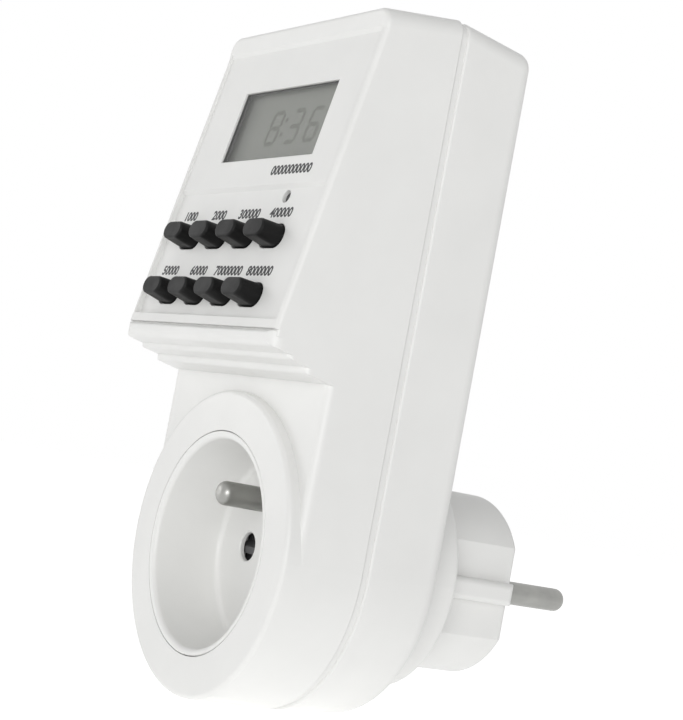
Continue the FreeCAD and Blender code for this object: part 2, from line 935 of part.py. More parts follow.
def rear_outside():
    form = rear_outline("rear_form", as_size(0))
    form = fillet("rear_rounded", form, (S.back_radius, lambda edge: near(middle(edge).y, back)))
    edge_start = seam + S.seam_gap + S.shadow_width
    main = slab("rear_main_raw", form, edge_start, back)
    main = fillet("rear_main", main, (S.shadow_inset, lambda edge: near(
        middle(edge).y, edge_start)))
    shadow = slab("shadow", rear_outline("shadow_form", S.shadow_inset),
                  seam + S.seam_gap, edge_start + S.wall)
    foot = rod("pedestal_raw", S.pedestal_radius, (0, back - PAST, 0),
               S.back_depth - S.pedestal_depth + PAST)
    foot = fillet("pedestal_round", foot, (S.nose_radius, lambda edge: near(
        middle(edge).y, pedestal)))
    body = rod("plug_round", S.plug_radius, (0, pedestal - PAST, 0), S.pedestal_depth + PAST)
    flats = box("plug_flats", (-S.plug_flat, pedestal - 2 * PAST, -SIDE), (S.plug_flat, PAST, SIDE))
    body = fillet("plug_body", common("plug_cut", body, flats),
                  (S.nose_radius, lambda edge: near(middle(edge).y, 0)))
    ribs = box("plug_ribs", (-S.rib_reach, pedestal - PAST, -S.rib_half_height),
               (S.rib_reach, -S.nose_radius, S.rib_half_height))
    ribs = fillet("plug_ribs_round", ribs, (S.nose_radius, lambda edge: (
        abs(middle(edge).x) > S.plug_flat.value and edge.BoundBox.XLength < 0.01
        and not near(middle(edge).y, pedestal - PAST))))
    return fuse("rear_outside", main, shadow, foot, body, ribs)


def rear_inside():
    inner = slab("rear_cavity", rear_outline("rear_cavity_form", S.wall), seam - PAST, inner_back)
    chamber_end = pedestal - S.chamber_wall
    chamber = rod("chamber", S.chamber_radius, (0, inner_back - PAST, 0),
                  chamber_end - inner_back + PAST)
    bore = rod("plug_bore", S.plug_bore, (0, chamber_end - PAST, 0),
               PAST - chamber_end - S.plug_face_wall)
    return group("rear_inside", inner, chamber, bore)


def tongue():
    """The rim on the rear shell that slips inside the front shell."""
    outer = S.wall + S.tongue_gap
    tip = seam_depth + S.tongue_reach
    root_end = seam_depth - S.seam_gap - S.shadow_width

    half = S.half_width - S.rear_draft * (seam_depth - root_end)
    top = S.top_height - S.front_top_fall * (seam_depth - root_end)

    def ring(name, inset, front_depth, back_depth):
        sizes = (half, top)
        return outline(name, inset, front_depth, back_depth, sizes, sizes)

    rim = ring("tongue_rim", outer, tip, root_end)
    root = ring("tongue_root", S.wall / 2, -(seam + S.seam_gap), root_end)
    space = ring("tongue_space", outer + S.tongue_wall, tip + PAST, root_end - PAST)
    return cut("tongue", fuse("tongue_solid", rim, root), space)


def retainer_screw_places():
    return [
        (side, sign * S.retainer_screw_across, -S.retainer_screw_down)
        for side, sign in (("left", -1), ("right", 1))
    ]


def post_places():
    return [
        (f"{side}{level}", sign * (power_half - S.post_inset_across), height)
        for side, sign in (("left", -1), ("right", 1))
        for level, height in (("low", S.power_low + S.post_inset),
                              ("high", S.power_high - S.post_inset))
    ]


def rear_shell():
    face_inner = -S.plug_face_wall
    solids = [tongue()]
    holes = []
    head_hole = S.housing_head_radius + S.housing_head_play
    column_radius = head_hole + S.wall * 0.75
    seat = back - S.counterbore_depth
    for tag, across, height in housing_screw_places():
        solids.append(rod(f"column_{tag}", column_radius, (across, seam + S.seam_gap, height),
                          inner_back - seam - S.seam_gap))
        holes.append(rod(f"counterbore_{tag}", head_hole,
                         (across, seat, height), S.counterbore_depth + PAST))
        holes.append(rod(f"column_hole_{tag}", S.housing_screw_radius + S.housing_shank_play,
                         (across, seam - PAST, height), seat - seam + 2 * PAST))
    for tag, across, height in post_places():
        solids.append(rod(f"post_{tag}", S.post_radius, (across, power_back, height),
                          S.power_gap + S.wall / 2))
        holes.append(rod(f"post_pilot_{tag}", small_pilot, (across, power_back - PAST, height),
                         S.power_gap + PAST))
    for tag, across, height in retainer_screw_places():
        solids.append(rod(f"retainer_boss_{tag}", S.retainer_boss_radius,
                          (across, face_inner - S.pin_flange_thickness, height),
                          S.pin_flange_thickness + PAST))
        holes.append(rod(f"retainer_pilot_{tag}", small_pilot,
                         (across, face_inner - S.pin_flange_thickness - PAST, height),
                         S.retainer_screw_bite + PAST))
    for side, sign in (("left", -1), ("right", 1)):
        holes.append(rod(f"pin_hole_{side}", S.pin_radius + S.pin_play,
                         (sign * half_spacing, face_inner - PAST, 0),
                         S.plug_face_wall + 2 * PAST))
    holes.append(rod("earth_entry", S.earth_entry, (0, face_inner - PAST, S.earth_offset),
                     S.plug_face_wall + 2 * PAST))
    hollow = cut("rear_hollow", rear_outside(), rear_inside())
    return node("rear_shell", cut("rear_shell", fuse("rear_solid", hollow, *solids), *holes))


# Socket insert, earth pin, shutter and contact block

def block_screw_places():
    """Two screws above the contacts and two below them."""
    high = S.block_top - S.block_screw_inset
    low = -S.block_bottom + S.block_screw_inset
    return [
        (f"{side}{level}", sign * across, height)
        for side, sign in (("left", -1), ("right", 1))
        for level, across, height in (("high", S.block_screw_high_across, high),
                                      ("low", S.block_screw_low_across, low))
    ]


def socket_insert():
    outer = insert_outer
    points = (
        (0, floor_front),
        (recess_mouth - S.recess_taper, floor_front),
        (recess_mouth, rim_front),
        (outer, rim_front),
        (outer, inner_front),
        (flange_radius, inner_front),
        (flange_radius, inner_front + S.flange_thickness),
        (outer, inner_front + S.flange_thickness),
        (outer, floor_back),
        (0, floor_back),
    )
    cup = revolved("insert_turned", points)
    doc.recompute()
    round_body(
        cup,
        (S.rim_radius, lambda edge: near(middle(edge).y, rim_front)
         and near(edge.Curve.Radius, recess_mouth)),
        (S.rim_edge, lambda edge: near(middle(edge).y, rim_front)
         and near(edge.Curve.Radius, outer)),
        (S.nose_radius, lambda edge: near(middle(edge).y, floor_front)),
    )
    holes = [box("shutter_pocket", (-channel_half, floor_back - S.shutter_pocket, channel_low),
                 (channel_half, floor_back + PAST, channel_high))]
    for side, sign in (("left", -1), ("right", 1)):
        holes.append(rod(f"contact_hole_{side}", S.contact_hole,
                         (sign * half_spacing, floor_front - PAST, 0),
                         S.floor_thickness + 2 * PAST))
        holes.append(cone(f"contact_sink_{side}", S.contact_hole + S.contact_sink, S.contact_hole,
                          (sign * half_spacing, floor_front, 0), S.contact_sink))
    holes.append(rod("earth_hole", S.pin_radius + S.pin_play,
                     (0, floor_front - PAST, S.earth_offset), S.floor_thickness + 2 * PAST))
    for tag, across, height in block_screw_places():
        holes.append(rod(f"block_pilot_{tag}", small_pilot,
                         (across, floor_back - S.block_screw_bite, height),
                         S.block_screw_bite + PAST))
    for index, across, height in insert_screw_places():
        holes.append(rod(f"flange_hole{index}", screw_hole,
                         (across, inner_front - PAST, height), S.flange_thickness + 2 * PAST))
    return node("socket_insert", cut("socket_insert", cup, *holes))


def socket_earth_pin():
    tip = floor_front - S.earth_pin_reach
    flange = floor_back + S.plate_thickness
    tail_end = block_back + S.plate_thickness / 3
    points = (
        (0, tip),
        (S.pin_radius, tip),
        (S.pin_radius, floor_front - S.pin_groove_out),
        (S.pin_groove_radius, floor_front - S.pin_groove_out),
        (S.pin_groove_radius, floor_front + S.pin_groove_in),
        (S.pin_radius, floor_front + S.pin_groove_in),
        (S.pin_radius, floor_back),
        (S.earth_flange_radius, floor_back),
        (S.earth_flange_radius, flange),
        (S.pin_radius, flange),
        (S.pin_radius, shutter_back),
        (S.pin_tail_radius, shutter_back),
        (S.pin_tail_radius, tail_end),
        (0, tail_end),
    )
    pin = revolved("socket_earth_pin", points)
    round_body(pin, (S.pin_tip_radius, lambda edge: near(middle(edge).y, tip)))
    bind(pin, "Placement.Base.z", S.earth_offset)
    return node("socket_earth_pin", pin)


def contact_block():
    half = S.block_half_width
    side_play = S.shutter_side_play
    solid = box("block_solid", (-half, floor_back, -S.block_bottom), (half, block_back, S.block_top))
    tools = [
        box("shutter_channel", (-channel_half, floor_back - PAST, channel_low),
            (channel_half, shutter_back, channel_high)),
        rod("earth_flange_seat", S.earth_flange_radius + S.shutter_play,
            (0, floor_back - PAST, S.earth_offset),
            shutter_back - floor_back + PAST),
        rod("earth_tail_hole", S.pin_tail_radius + S.screw_clearance,
            (0, shutter_back - PAST, S.earth_offset), block_back - shutter_back + 2 * PAST),
        box("spring_trough", (-spring_outer - side_play, floor_back - PAST, spring_seat()),
            (spring_outer + side_play, spring_axis + spring_outer + side_play,
             -S.shutter_half_height)),
    ]
    for side, sign in (("left", -1), ("right", 1)):
        tools.append(rod(f"clip_pocket_{side}", clip_radius + S.shutter_play,
                         (sign * half_spacing, shutter_back - PAST, 0),
                         block_back - shutter_back + 2 * PAST))
    for tag, across, height in block_screw_places():
        tools.append(rod(f"block_hole_{tag}", screw_hole,
                         (across, floor_back - PAST, height), block_back - floor_back + 2 * PAST))
    return node("contact_block", cut("contact_block", solid, *tools))


def spring_seat():
    return -S.block_bottom + PAST


def shutter():
    """A bar behind the recess floor; its rib reaches into the floor's pocket."""
    reach = channel_half - S.shutter_side_play
    front = floor_back + S.shutter_play
    rear = front + S.shutter_thickness
    bar = box("shutter_bar", (-reach, front, -S.shutter_half_height),
              (reach, rear, S.shutter_half_height))
    ramp = S.shutter_ramp
    slopes = []
    for side, sign in (("left", -1), ("right", 1)):
        slopes.append(wedge(f"ramp_{side}", (front - PAST, S.contact_hole, 0,
                                             S.shutter_half_height + ramp),
                            (front + ramp, S.contact_hole,
                             S.shutter_half_height - S.shutter_edge,
                             S.shutter_half_height + ramp)))
        bind(slopes[-1], "Placement.Base.x", sign * half_spacing)
    rib = wedge("shutter_rib", (front - S.shutter_pocket, reach, -S.shutter_rib,
                                S.shutter_rib_nose - S.shutter_rib),
                (front + S.shutter_play, reach, -S.shutter_rib, S.shutter_rib))
    return node("shutter", fuse("shutter", cut("shutter_bar_cut", bar, *slopes), rib))


def shutter_spring():
    length = spring_seat() + S.shutter_half_height
    height = -length.value - S.spring_wire.value
    coil = Part.makeHelix(height / SIZES["spring_turns"], height, S.spring_radius.value)
    start = coil.Vertexes[0].Point
    ring = Part.Wire(Part.makeCircle(S.spring_wire.value / 2, start, Vector(0, 1, 0)))
    item = doc.addObject("Part::Feature", "shutter_spring")
    item.Shape = Part.Wire(coil.Edges).makePipeShell([ring], True, True)
    base = Vector(0, spring_axis.value, spring_seat().value + S.spring_wire.value / 2)
    item.Placement = Placement(base, UPRIGHT)
    return node("shutter_spring", item)


def socket_contact(name, sign):
    """A slotted sleeve on a plate, with a strip that rises to take its wire."""
    centre = sign * half_spacing
    reach = clip_radius + S.plate_margin
    strip_in = half_spacing + S.strip_offset
    strip_out = strip_in + S.strip_band
    length = block_back - shutter_back - 2 * S.shutter_play
    front = block_back - length
    sleeve = rod(f"{name}_sleeve", clip_radius, (centre, front, 0), length)
    low_x, high_x = half_spacing - reach, strip_out
    strip_low, strip_high = strip_in, strip_out
    if sign < 0:
        low_x, high_x = -high_x, -low_x
        strip_low, strip_high = -strip_high, -strip_low
    plate = box(f"{name}_plate", (low_x, block_back, -reach), (high_x, plate_back, reach))
    strip = box(f"{name}_strip", (strip_low, block_back, 0), (strip_high, plate_back, S.strip_top))
    bore = rod(f"{name}_bore", S.earth_bore, (centre, front - PAST, 0),
               length + S.plate_thickness + 2 * PAST)
    slot = box(f"{name}_slot",
               (centre - S.contact_slot, front - PAST, -clip_radius - PAST),
               (centre + S.contact_slot, block_back - S.plate_margin - PAST, clip_radius + PAST))
    return node(name, cut(name, fuse(f"{name}_solid", sleeve, plate, strip), bore, slot))


def insulation_sheet():
    half = S.block_half_width
    solid = box("sheet_solid", (-half, plate_back, -S.block_bottom), (half, sheet_back, S.block_top))
    holes = [rod("sheet_earth_hole", S.pin_tail_radius + S.plate_margin,
                 (0, plate_back - PAST, S.earth_offset), S.sheet_thickness + 2 * PAST)]
    for side, sign in (("left", -1), ("right", 1)):
        holes.append(rod(f"sheet_hole_{side}", S.contact_hole,
                         (sign * half_spacing, plate_back - PAST, 0),
                         S.sheet_thickness + 2 * PAST))
    for tag, across, height in block_screw_places():
        holes.append(rod(f"sheet_screw_hole_{tag}", S.small_head_radius + S.small_head_play,
                         (across, plate_back - PAST, height), S.sheet_thickness + 2 * PAST))
    return node("insulation_sheet", cut("insulation_sheet", solid, *holes))


def earth_strap():
    half = half_spacing - clip_radius - S.strap_side_gap
    height = S.earth_offset
    rear = block_back + S.strap_thickness
    plate = box("strap_plate", (-half, block_back, height - half - PAST),
                (half, rear, height + half))
    hole = rod("strap_hole", S.pin_tail_radius + S.screw_clearance,
               (0, block_back - PAST, height), S.strap_thickness + 2 * PAST)
    return node("earth_strap", cut("earth_strap", plate, hole))


# Plug pins, rear earth contact and their retainer

def plug_pin(name, sign):
    face_inner = -S.plug_face_wall
    flange_end = face_inner - S.pin_flange_thickness
    points = (
        (0, S.pin_length),
        (S.pin_radius, S.pin_length),
        (S.pin_radius, S.pin_groove_out),
        (S.pin_groove_radius, S.pin_groove_out),
        (S.pin_groove_radius, -S.pin_groove_in),
        (S.pin_radius, -S.pin_groove_in),
        (S.pin_radius, face_inner),
        (S.pin_flange_radius, face_inner),
        (S.pin_flange_radius, flange_end),
        (S.pin_tail_radius, flange_end),
        (S.pin_tail_radius, flange_end - S.pin_tail_length),
        (0, flange_end - S.pin_tail_length),
    )
    pin = revolved(name, points)
    round_body(pin, (S.pin_tip_radius, lambda edge: near(middle(edge).y, S.pin_length)))
    bind(pin, "Placement.Base.x", sign * half_spacing)
    return node(name, pin)


def rear_earth_contact():
    start = -S.plug_face_wall - S.earth_sleeve_gap
    outer = S.earth_bore + S.earth_sleeve_wall
    flange_outer = outer + S.earth_sleeve_flange
    sleeve_end = start - S.earth_sleeve_length
    flange = retainer_back - S.plate_thickness
    tail_end = block_back + S.plate_thickness / 3 + S.screw_clearance
    points = (
        (S.earth_bore, start),
        (outer, start),
        (outer, retainer_back),
        (flange_outer, retainer_back),
        (flange_outer, flange),
        (outer, flange),
        (outer, sleeve_end - PAST),
        (S.pin_tail_radius, sleeve_end - PAST),
        (S.pin_tail_radius, tail_end),
        (0, tail_end),
        (0, sleeve_end),
        (S.earth_bore, sleeve_end),
    )
    contact = revolved("rear_earth_contact", points)
    bind(contact, "Placement.Base.z", S.earth_offset)
    return node("rear_earth_contact", contact)


def pin_retainer():
    rear = retainer_back
    front = rear + S.retainer_thickness
    disc = rod("retainer_disc", S.plug_bore - S.retainer_play, (0, rear, 0), S.retainer_thickness)
    long = S.retainer_thickness + 2 * PAST
    holes = [rod("retainer_earth", S.earth_bore + S.earth_sleeve_wall + S.screw_clearance,
                 (0, rear - PAST, S.earth_offset), long)]
    for side, sign in (("left", -1), ("right", 1)):
        holes.append(rod(f"retainer_tail_{side}", S.pin_tail_radius + S.screw_clearance,
                         (sign * half_spacing, rear - PAST, 0), long))
    for tag, across, height in retainer_screw_places():
        holes.append(rod(f"retainer_hole_{tag}", screw_hole,
                         (across, front - long + PAST, height), long))
    return node("pin_retainer", cut("pin_retainer", disc, *holes))


# Display stack, in the panel's frame

def display_window():
    """A stepped lens: a flange behind the panel and a face that fills the opening."""
    seat = S.display_sink + S.window_lip
    front = S.display_sink + S.lens_sink
    across = window_half + S.rebate - S.lens_play
    up = display_half + S.rebate - S.lens_play
    flange = box("lens_flange", (S.window_across - across, seat, display_middle - up),
                 (S.window_across + across, lens_back, display_middle + up))
    across = window_half - S.lens_play
    up = display_half - S.lens_play
    face = box("lens_face", (S.window_across - across, front, display_middle - up),
               (S.window_across + across, lens_back, display_middle + up))
    return node("display_window", in_panel_frame(fuse("display_window", flange, face)))


def display_gasket():
    """The foam ring between the lens and the display's glass."""
    back = lens_back + S.gasket_thickness
    across = window_half + S.rebate - S.lens_play
    up = display_half + S.rebate - S.lens_play
    solid = box("gasket_solid", (S.window_across - across, lens_back, display_middle - up),
                (S.window_across + across, back, display_middle + up))
    hole = box("gasket_hole",
               (S.window_across - window_half, lens_back - PAST, display_middle - display_half),
               (S.window_across + window_half, back + PAST, display_middle + display_half))
    return node("display_gasket", in_panel_frame(cut("display_gasket", solid, hole)))


def lcd_glass():
    """Two glass plates, the rear one larger to carry its contacts."""
    across = window_half + S.glass_overhang
    between = glass_start + S.glass_thickness
    up = display_half + S.glass_edge
    front = box("front_glass", (S.window_across - across, glass_start, display_middle - up),
                (S.window_across + across, between, display_middle + up))
    up = up + S.glass_edge
    rear = box("rear_glass", (S.window_across - across, between, display_middle - up),
               (S.window_across + across, glass_end, display_middle + up))
    return node("lcd_glass", in_panel_frame(fuse("lcd_glass", front, rear)))


def zebra_slot(name, sign, play):
    """The slot for one contact strip between the glass and the board."""
    across = window_half + S.glass_overhang - S.strip_end + play
    centre = display_middle + sign * (display_half + S.glass_edge)
    half = S.strip_width / 2 + play
    return box(name, (S.window_across - across, glass_end, centre - half),
               (S.window_across + across, S.board_depth, centre + half))


def display_frame():
    play = S.glass_play
    across = window_half + S.glass_overhang
    up = display_half + 2 * S.glass_edge
    wide = across + S.frame_wall + play
    tall = up + S.frame_wall
    solid = box("frame_solid", (S.window_across - wide, panel_inner, display_middle - tall),
                (S.window_across + wide, S.board_depth, display_middle + tall))
    pocket = box("glass_pocket",
                 (S.window_across - across - play, panel_inner - PAST, display_middle - up - play),
                 (S.window_across + across + play, glass_end + play / 2,
                  display_middle + up + play))
    wide = across - S.frame_rim
    tall = display_half - S.frame_rim
    recess = box("frame_recess",
                 (S.window_across - wide, glass_end + S.frame_rib, display_middle - tall),
                 (S.window_across + wide, S.board_depth + PAST, display_middle + tall))
    slots = [
        zebra_slot(f"zebra_slot{index}", sign, S.strip_play)
        for index, sign in enumerate((-1, 1))
    ]
    frame = cut("display_frame", solid, pocket, recess, *slots)
    return node("display_frame", in_panel_frame(frame))


def zebra_strips():
    strips = [zebra_slot(f"zebra{index}", sign, 0) for index, sign in enumerate((-1, 1))]
    return node("zebra_strips", in_panel_frame(group("zebra_strips", *strips)))


def logic_board():
    across = S.half_width - S.logic_boss_margin + S.logic_boss_radius
    high = -S.logic_boss_high + S.logic_edge
    low = -between_rows - S.logic_edge_low
    solid = box("logic_solid", (-across, S.board_depth, low), (across, board_back, high))
    holes = [
        rod(f"logic_hole_{tag}", screw_hole, (x, S.board_depth - PAST, up),
            S.board_thickness + 2 * PAST)
        for tag, x, up in logic_boss_places()
    ]
    return node("logic_board", in_panel_frame(cut("logic_board", solid, *holes)))


def dome_mat():
    places = [(number, across, up) for number, across, up in key_places()]
    places.append(("reset", last_column, -S.reset_down))
    sheet = box("mat_sheet", (key_left - S.mat_margin, mat_front, -S.lower_row - S.mat_margin),
                (last_column + S.mat_margin, S.board_depth, -S.reset_down + S.mat_top))
    domes = [
        cone(f"dome_{tag}", S.dome_tip, S.dome_radius,
             (across, dome_top, up), S.dome_height + S.dome_sink)
        for tag, across, up in places
    ]
    space = S.logic_boss_radius + S.mat_gap
    around_bosses = [
        rod(f"mat_notch_{tag}", space, (across, mat_front - PAST, up), S.mat_thickness + 2 * PAST)
        for tag, across, up in logic_boss_places()
    ]
    mat = cut("dome_mat", fuse("mat_solid", sheet, *domes), *around_bosses)
    return node("dome_mat", in_panel_frame(mat))


def key_cap(number, across, up):
    """One key: a drafted cap through the panel, a flange behind it and a stem."""
    name = f"key_{number}"
    front = -S.key_reach
    flange = panel_inner + S.flange_gap
    face = S.key_face_radius
    root = S.key_root_radius
    ends = [
        cone(f"{name}_end{index}", face, root, (across + place_x, front, up), S.keypad_sink - front)
        for index, place_x in enumerate((-S.key_half_gap, S.key_half_gap))
    ]
    web = wedge(f"{name}_web", (front, S.key_half_gap, -face, face),
                (S.keypad_sink, S.key_half_gap, -root, root))
    bind(web, "Placement.Base.x", across)
    bind(web, "Placement.Base.z", up)
    cap = fuse(f"{name}_cap", web, *ends)
    cap = fillet(f"{name}_rounded", cap, (S.key_edge, lambda edge: near(middle(edge).y, front)))
    neck = oblong(f"{name}_neck", across, up, S.keypad_sink, flange + PAST / 2, root)
    skirt = oblong(f"{name}_skirt", across, up, flange, flange + S.key_flange_thickness,
                   root + S.key_flange)
    stem_start = flange + S.key_flange_thickness / 2
    stem_end = dome_top - S.key_travel - S.dome_gap
    stem = rod(f"{name}_stem", S.key_stem, (across, stem_start, up), stem_end - stem_start)
    return node(name, in_panel_frame(fuse(name, cap, neck, skirt, stem)))


def reset_button():
    front = S.keypad_sink + S.reset_sink
    flange = panel_inner + S.flange_gap
    stem_end = dome_top - S.reset_travel - S.dome_gap
    across, up = last_column, -S.reset_down
    stem = rod("reset_stem", S.reset_radius, (across, front, up), stem_end - front)
    skirt = rod("reset_skirt", S.reset_radius + S.reset_flange, (across, flange, up),
                S.key_flange_thickness)
    return node("reset_button", in_panel_frame(fuse("reset_button", stem, skirt)))


def controller_chip():
    half = S.chip_size / 2
    package = box("chip_package", (-half, board_back, -S.chip_down - half),
                  (half, board_back + S.chip_height, -S.chip_down + half))
    legs = []
    count = int(SIZES["chip_legs"])
    for index in range(count):
        x = (index - (count - 1) / 2) * S.leg_pitch
        reach = half + S.leg_reach
        legs.append(box(f"chip_leg{index}",
                        (x - S.leg_width / 2, board_back, -S.chip_down - reach),
                        (x + S.leg_width / 2, board_back + S.chip_height / 4,
                         -S.chip_down + reach)))
    return node("controller_chip", in_panel_frame(fuse("controller_chip", package, *legs)))


def crystal():
    place_on_board = (S.crystal_across, board_back + S.crystal_radius, -S.crystal_down)
    can = rod("crystal_can", S.crystal_radius, place_on_board, S.crystal_length, UPRIGHT)
    return node("crystal", in_panel_frame(group("crystal", can)))


# Power board and what it carries, in the world frame

def power_board():
    solid = box("power_solid", (-power_half, power_front, S.power_low),
                (power_half, power_back, S.power_high))
    holes = [
        rod(f"power_hole_{tag}", screw_hole, (across, power_front - PAST, height),
            S.power_thickness + 2 * PAST)
        for tag, across, height in post_places()
    ]
    return node("power_board", cut("power_board", solid, *holes))


def on_power_board(from_side, up):
    """Across and height of a place on the power board; from_side < 0 counts from the right."""
    across = from_side - power_half if from_side.value > 0 else power_half + from_side
    return across, S.power_low + up


def power_case(name, left, low, width, height, depth):
    """A block standing on the power board's front face, its front edges rounded."""
    front = power_front - depth
    case = box(f"{name}_case", (left, front, low), (left + width, power_front, low + height))
    return node(name, fillet(name, case, (S.case_radius, lambda edge: near(
        middle(edge).y, front))))


def relay():
    left, low = on_power_board(S.relay_side, S.relay_low)
    return power_case("relay", left, low, S.relay_width, S.relay_height, S.relay_depth)


def x2_capacitor():
    return power_case("x2_capacitor", S.x2_across, S.power_low + S.x2_low, S.x2_width,
                      S.x2_height, S.x2_depth)


def smoothing_capacitor():
    across, height = on_power_board(-S.smoothing_side, S.smoothing_low)
    front = power_front - S.smoothing_depth
    can = rod("smoothing_can", S.smoothing_radius, (across, front, height), S.smoothing_depth)
    return node("smoothing_capacitor", fillet("smoothing_capacitor", can, (
        S.case_radius, lambda edge: near(middle(edge).y, front))))


def varistor():
    across, height = on_power_board(S.varistor_side, S.varistor_low)
    along = power_front - S.varistor_radius - S.case_radius
    disc = rod("varistor_disc", S.varistor_radius, (across, along, height),
               S.varistor_thickness, ALONG_X)
    lead_across = across + S.varistor_thickness / 2
    leads = [
        rod(f"varistor_lead{index}", S.lead_radius,
            (lead_across, power_front - S.lead_length, height + sign * S.lead_spread),
            S.lead_length)
        for index, sign in enumerate((-1, 1))
    ]
    return node("varistor", fuse("varistor", disc, *leads))


def fuse_link():
    across = S.link_across
    height = S.power_low + S.link_low
    along = power_front - S.link_cap
    tube = rod("link_tube", S.link_radius, (across, along, height), S.link_length, ALONG_X)
    reach = S.link_cap
    caps = []
    for index, start in enumerate((across - reach / 2, across + S.link_length - reach / 2)):
        caps.append(box(f"link_cap{index}", (start, along - reach, height - reach),
                        (start + reach, power_front, height + reach)))
    return node("fuse_link", fuse("fuse_link", tube, *caps))


def rectifier_diodes():
    across, height = on_power_board(S.diode_side, S.row_low)
    along = power_front - S.diode_radius
    solids = [
        rod(f"diode{index}", S.diode_radius, (across + index * S.diode_pitch, along, height),
            S.diode_length, UPRIGHT)
        for index in range(4)
    ]
    return node("rectifier_diodes", group("rectifier_diodes", *solids))


def resistors():
    across, height = on_power_board(S.resistor_side, S.row_low)
    along = power_front - S.resistor_radius
    solids = [
        rod(f"resistor{index}", S.resistor_radius,
            (across, along, height + index * S.resistor_pitch), S.resistor_length, ALONG_X)
        for index in range(3)
    ]
    return node("resistors", group("resistors", *solids))


def transistor():
    """A round case with a flat side, on one block of leads."""
    across, height = on_power_board(-S.transistor_side, S.transistor_low)
    radius = S.transistor_radius
    front = power_front - S.transistor_depth
    lead_top = power_front - S.transistor_lift
    round_part = rod("transistor_round", radius, (across, front, height), lead_top - front)
    flat = box("transistor_flat",
               (across - radius - PAST, front - PAST, height - radius - PAST),
               (across + radius + PAST, power_front, height - S.transistor_flat))
    leads = box("transistor_leads",
                (across - radius / 2, lead_top - PAST / 2, height - S.lead_radius / 2),
                (across + radius / 2, power_front, height + S.lead_radius / 2))
    case = cut("transistor_case", round_part, flat)
    return node("transistor", fuse("transistor", case, leads))


def backup_battery():
    across, height = on_power_board(-S.cell_side, S.cell_low)
    front = power_front - S.cell_lift - S.cell_thickness
    cell = rod("battery_cell", S.cell_radius, (across, front, height), S.cell_thickness)
    return node("backup_battery", fillet("backup_battery", cell, (S.case_radius, all_edges)))


def all_edges(edge):
    return edge.BoundBox.XLength > PAST


def battery_clip():
    """A spring arm over the cell and a leg that stands beside it on the board."""
    across, height = on_power_board(-S.cell_side, S.cell_low)
    outer = power_front - S.cell_lift - S.cell_thickness
    half = S.clip_half_width
    inside = height + S.cell_radius + S.clip_thickness
    top = inside + S.clip_thickness
    arm = box("clip_arm", (across - half, outer - S.clip_thickness, height - S.clip_overlap),
              (across + half, outer, top))
    leg = box("clip_leg", (across - half, outer - S.clip_thickness, inside),
              (across + half, power_front, top))
    return node("battery_clip", fuse("battery_clip", arm, leg))


def ribbon_cable():
    """A flat cable with one fold of slack between the two boards."""
    height = S.power_high - S.cable_down
    up = (height - S.panel_height + board_back * sine(S.panel_tilt)) / cosine(S.panel_tilt)
    logic_end, _ = panel_point(board_back, up)
    thick = S.cable_thickness
    top = height + thick
    drop = height - S.cable_slack
    start = logic_end + S.cable_gap
    run = power_front - start
    near_fold, fold, far_fold = (power_front - run * share for share in (0.25, 0.5, 0.75))
    points = (
        (power_front, height), (near_fold, height), (fold, drop), (far_fold, height),
        (start, height), (start, top), (far_fold - thick / 2, top),
        (fold, drop + thick * 1.5), (near_fold + thick / 2, top), (power_front, top),
    )
    body = padded("ribbon_cable", "YZ_Plane", points, S.cable_width)
    bind(body, "Placement.Base.x", S.cable_side - power_half)
    return node("ribbon_cable", body)


# Wires: straight runs joined by tangent arcs

def wire_path(points, radius):
    edges = []
    start = points[0]
    for index in range(1, len(points) - 1):
        corner = points[index]
        before = (points[index - 1] - corner).normalize()
        after = (points[index + 1] - corner).normalize()
        half_turn = (math.pi - before.getAngle(after)) / 2
        reach = radius * math.tan(half_turn)
        first, last = corner + before * reach, corner + after * reach
        inward = (before + after).normalize()
        centre = corner + inward * (radius / math.cos(half_turn))
        top = centre - inward * radius
        edges.append(Part.LineSegment(start, first).toShape())
        edges.append(Part.Arc(first, top, last).toShape())
        start = last
    edges.append(Part.LineSegment(start, points[-1]).toShape())
    return Part.Wire(edges)


def wire(name, points):
    vectors = [Vector(*(as_size(size).value for size in point)) for point in points]
    path = wire_path(vectors, S.wire_bend.value)
    normal = vectors[1] - vectors[0]
    ring = Part.Wire(Part.makeCircle(S.wire_radius.value, vectors[0], normal))
    item = doc.addObject("Part::Feature", name)
    item.Shape = path.makePipeShell([ring], True, False)
    expected = math.pi * S.wire_radius.value ** 2 * path.Length
    print(name, "length", round(path.Length, 1), "volume ratio",
          round(item.Shape.Volume / expected, 4))
    return node(name, item)


def supply_wire(name, sign):
    across = sign * half_spacing
    tail = -S.plug_face_wall - S.pin_flange_thickness - S.pin_tail_length
    turn = (pedestal + inner_back) / 2
    rise = S.chamber_radius - S.wire_radius - S.wire_gap
    board = power_front - S.wire_radius
    return wire(name, [
        (across, tail, 0), (across, turn, 0), (across, turn, rise), (across, board, rise),
        (across, board, S.power_low + S.wire_landing),
    ])


def load_wire(name, sign):
    across = sign * (half_spacing + S.strip_offset + S.strip_band / 2)
    start = block_back - S.wire_radius
    board = power_front - S.wire_radius
    return wire(name, [
        (across, start, S.strip_top - S.wire_overlap),
        (across, start, S.strip_top + S.wire_gap),
        (across, board, S.strip_top + 2 * S.wire_gap),
        (across, board, S.power_low + S.wire_landing),
    ])


# Fasteners: identical ones share a node

def housing_screws():
    seat = back - S.counterbore_depth
    solids = [
        screw(f"housing_screw_{tag}", across, height, seat, screw_tip + seat,
              S.housing_screw_radius, S.housing_head_radius, S.housing_head_height)
        for tag, across, height in housing_screw_places()
    ]
    return node("housing_screws", group("housing_screws", *solids))


def small_screw(name, across, height, seat, length, inward=-1):
    return screw(name, across, height, seat, length, S.small_screw_radius,
                 S.small_head_radius, S.small_head_height, inward)


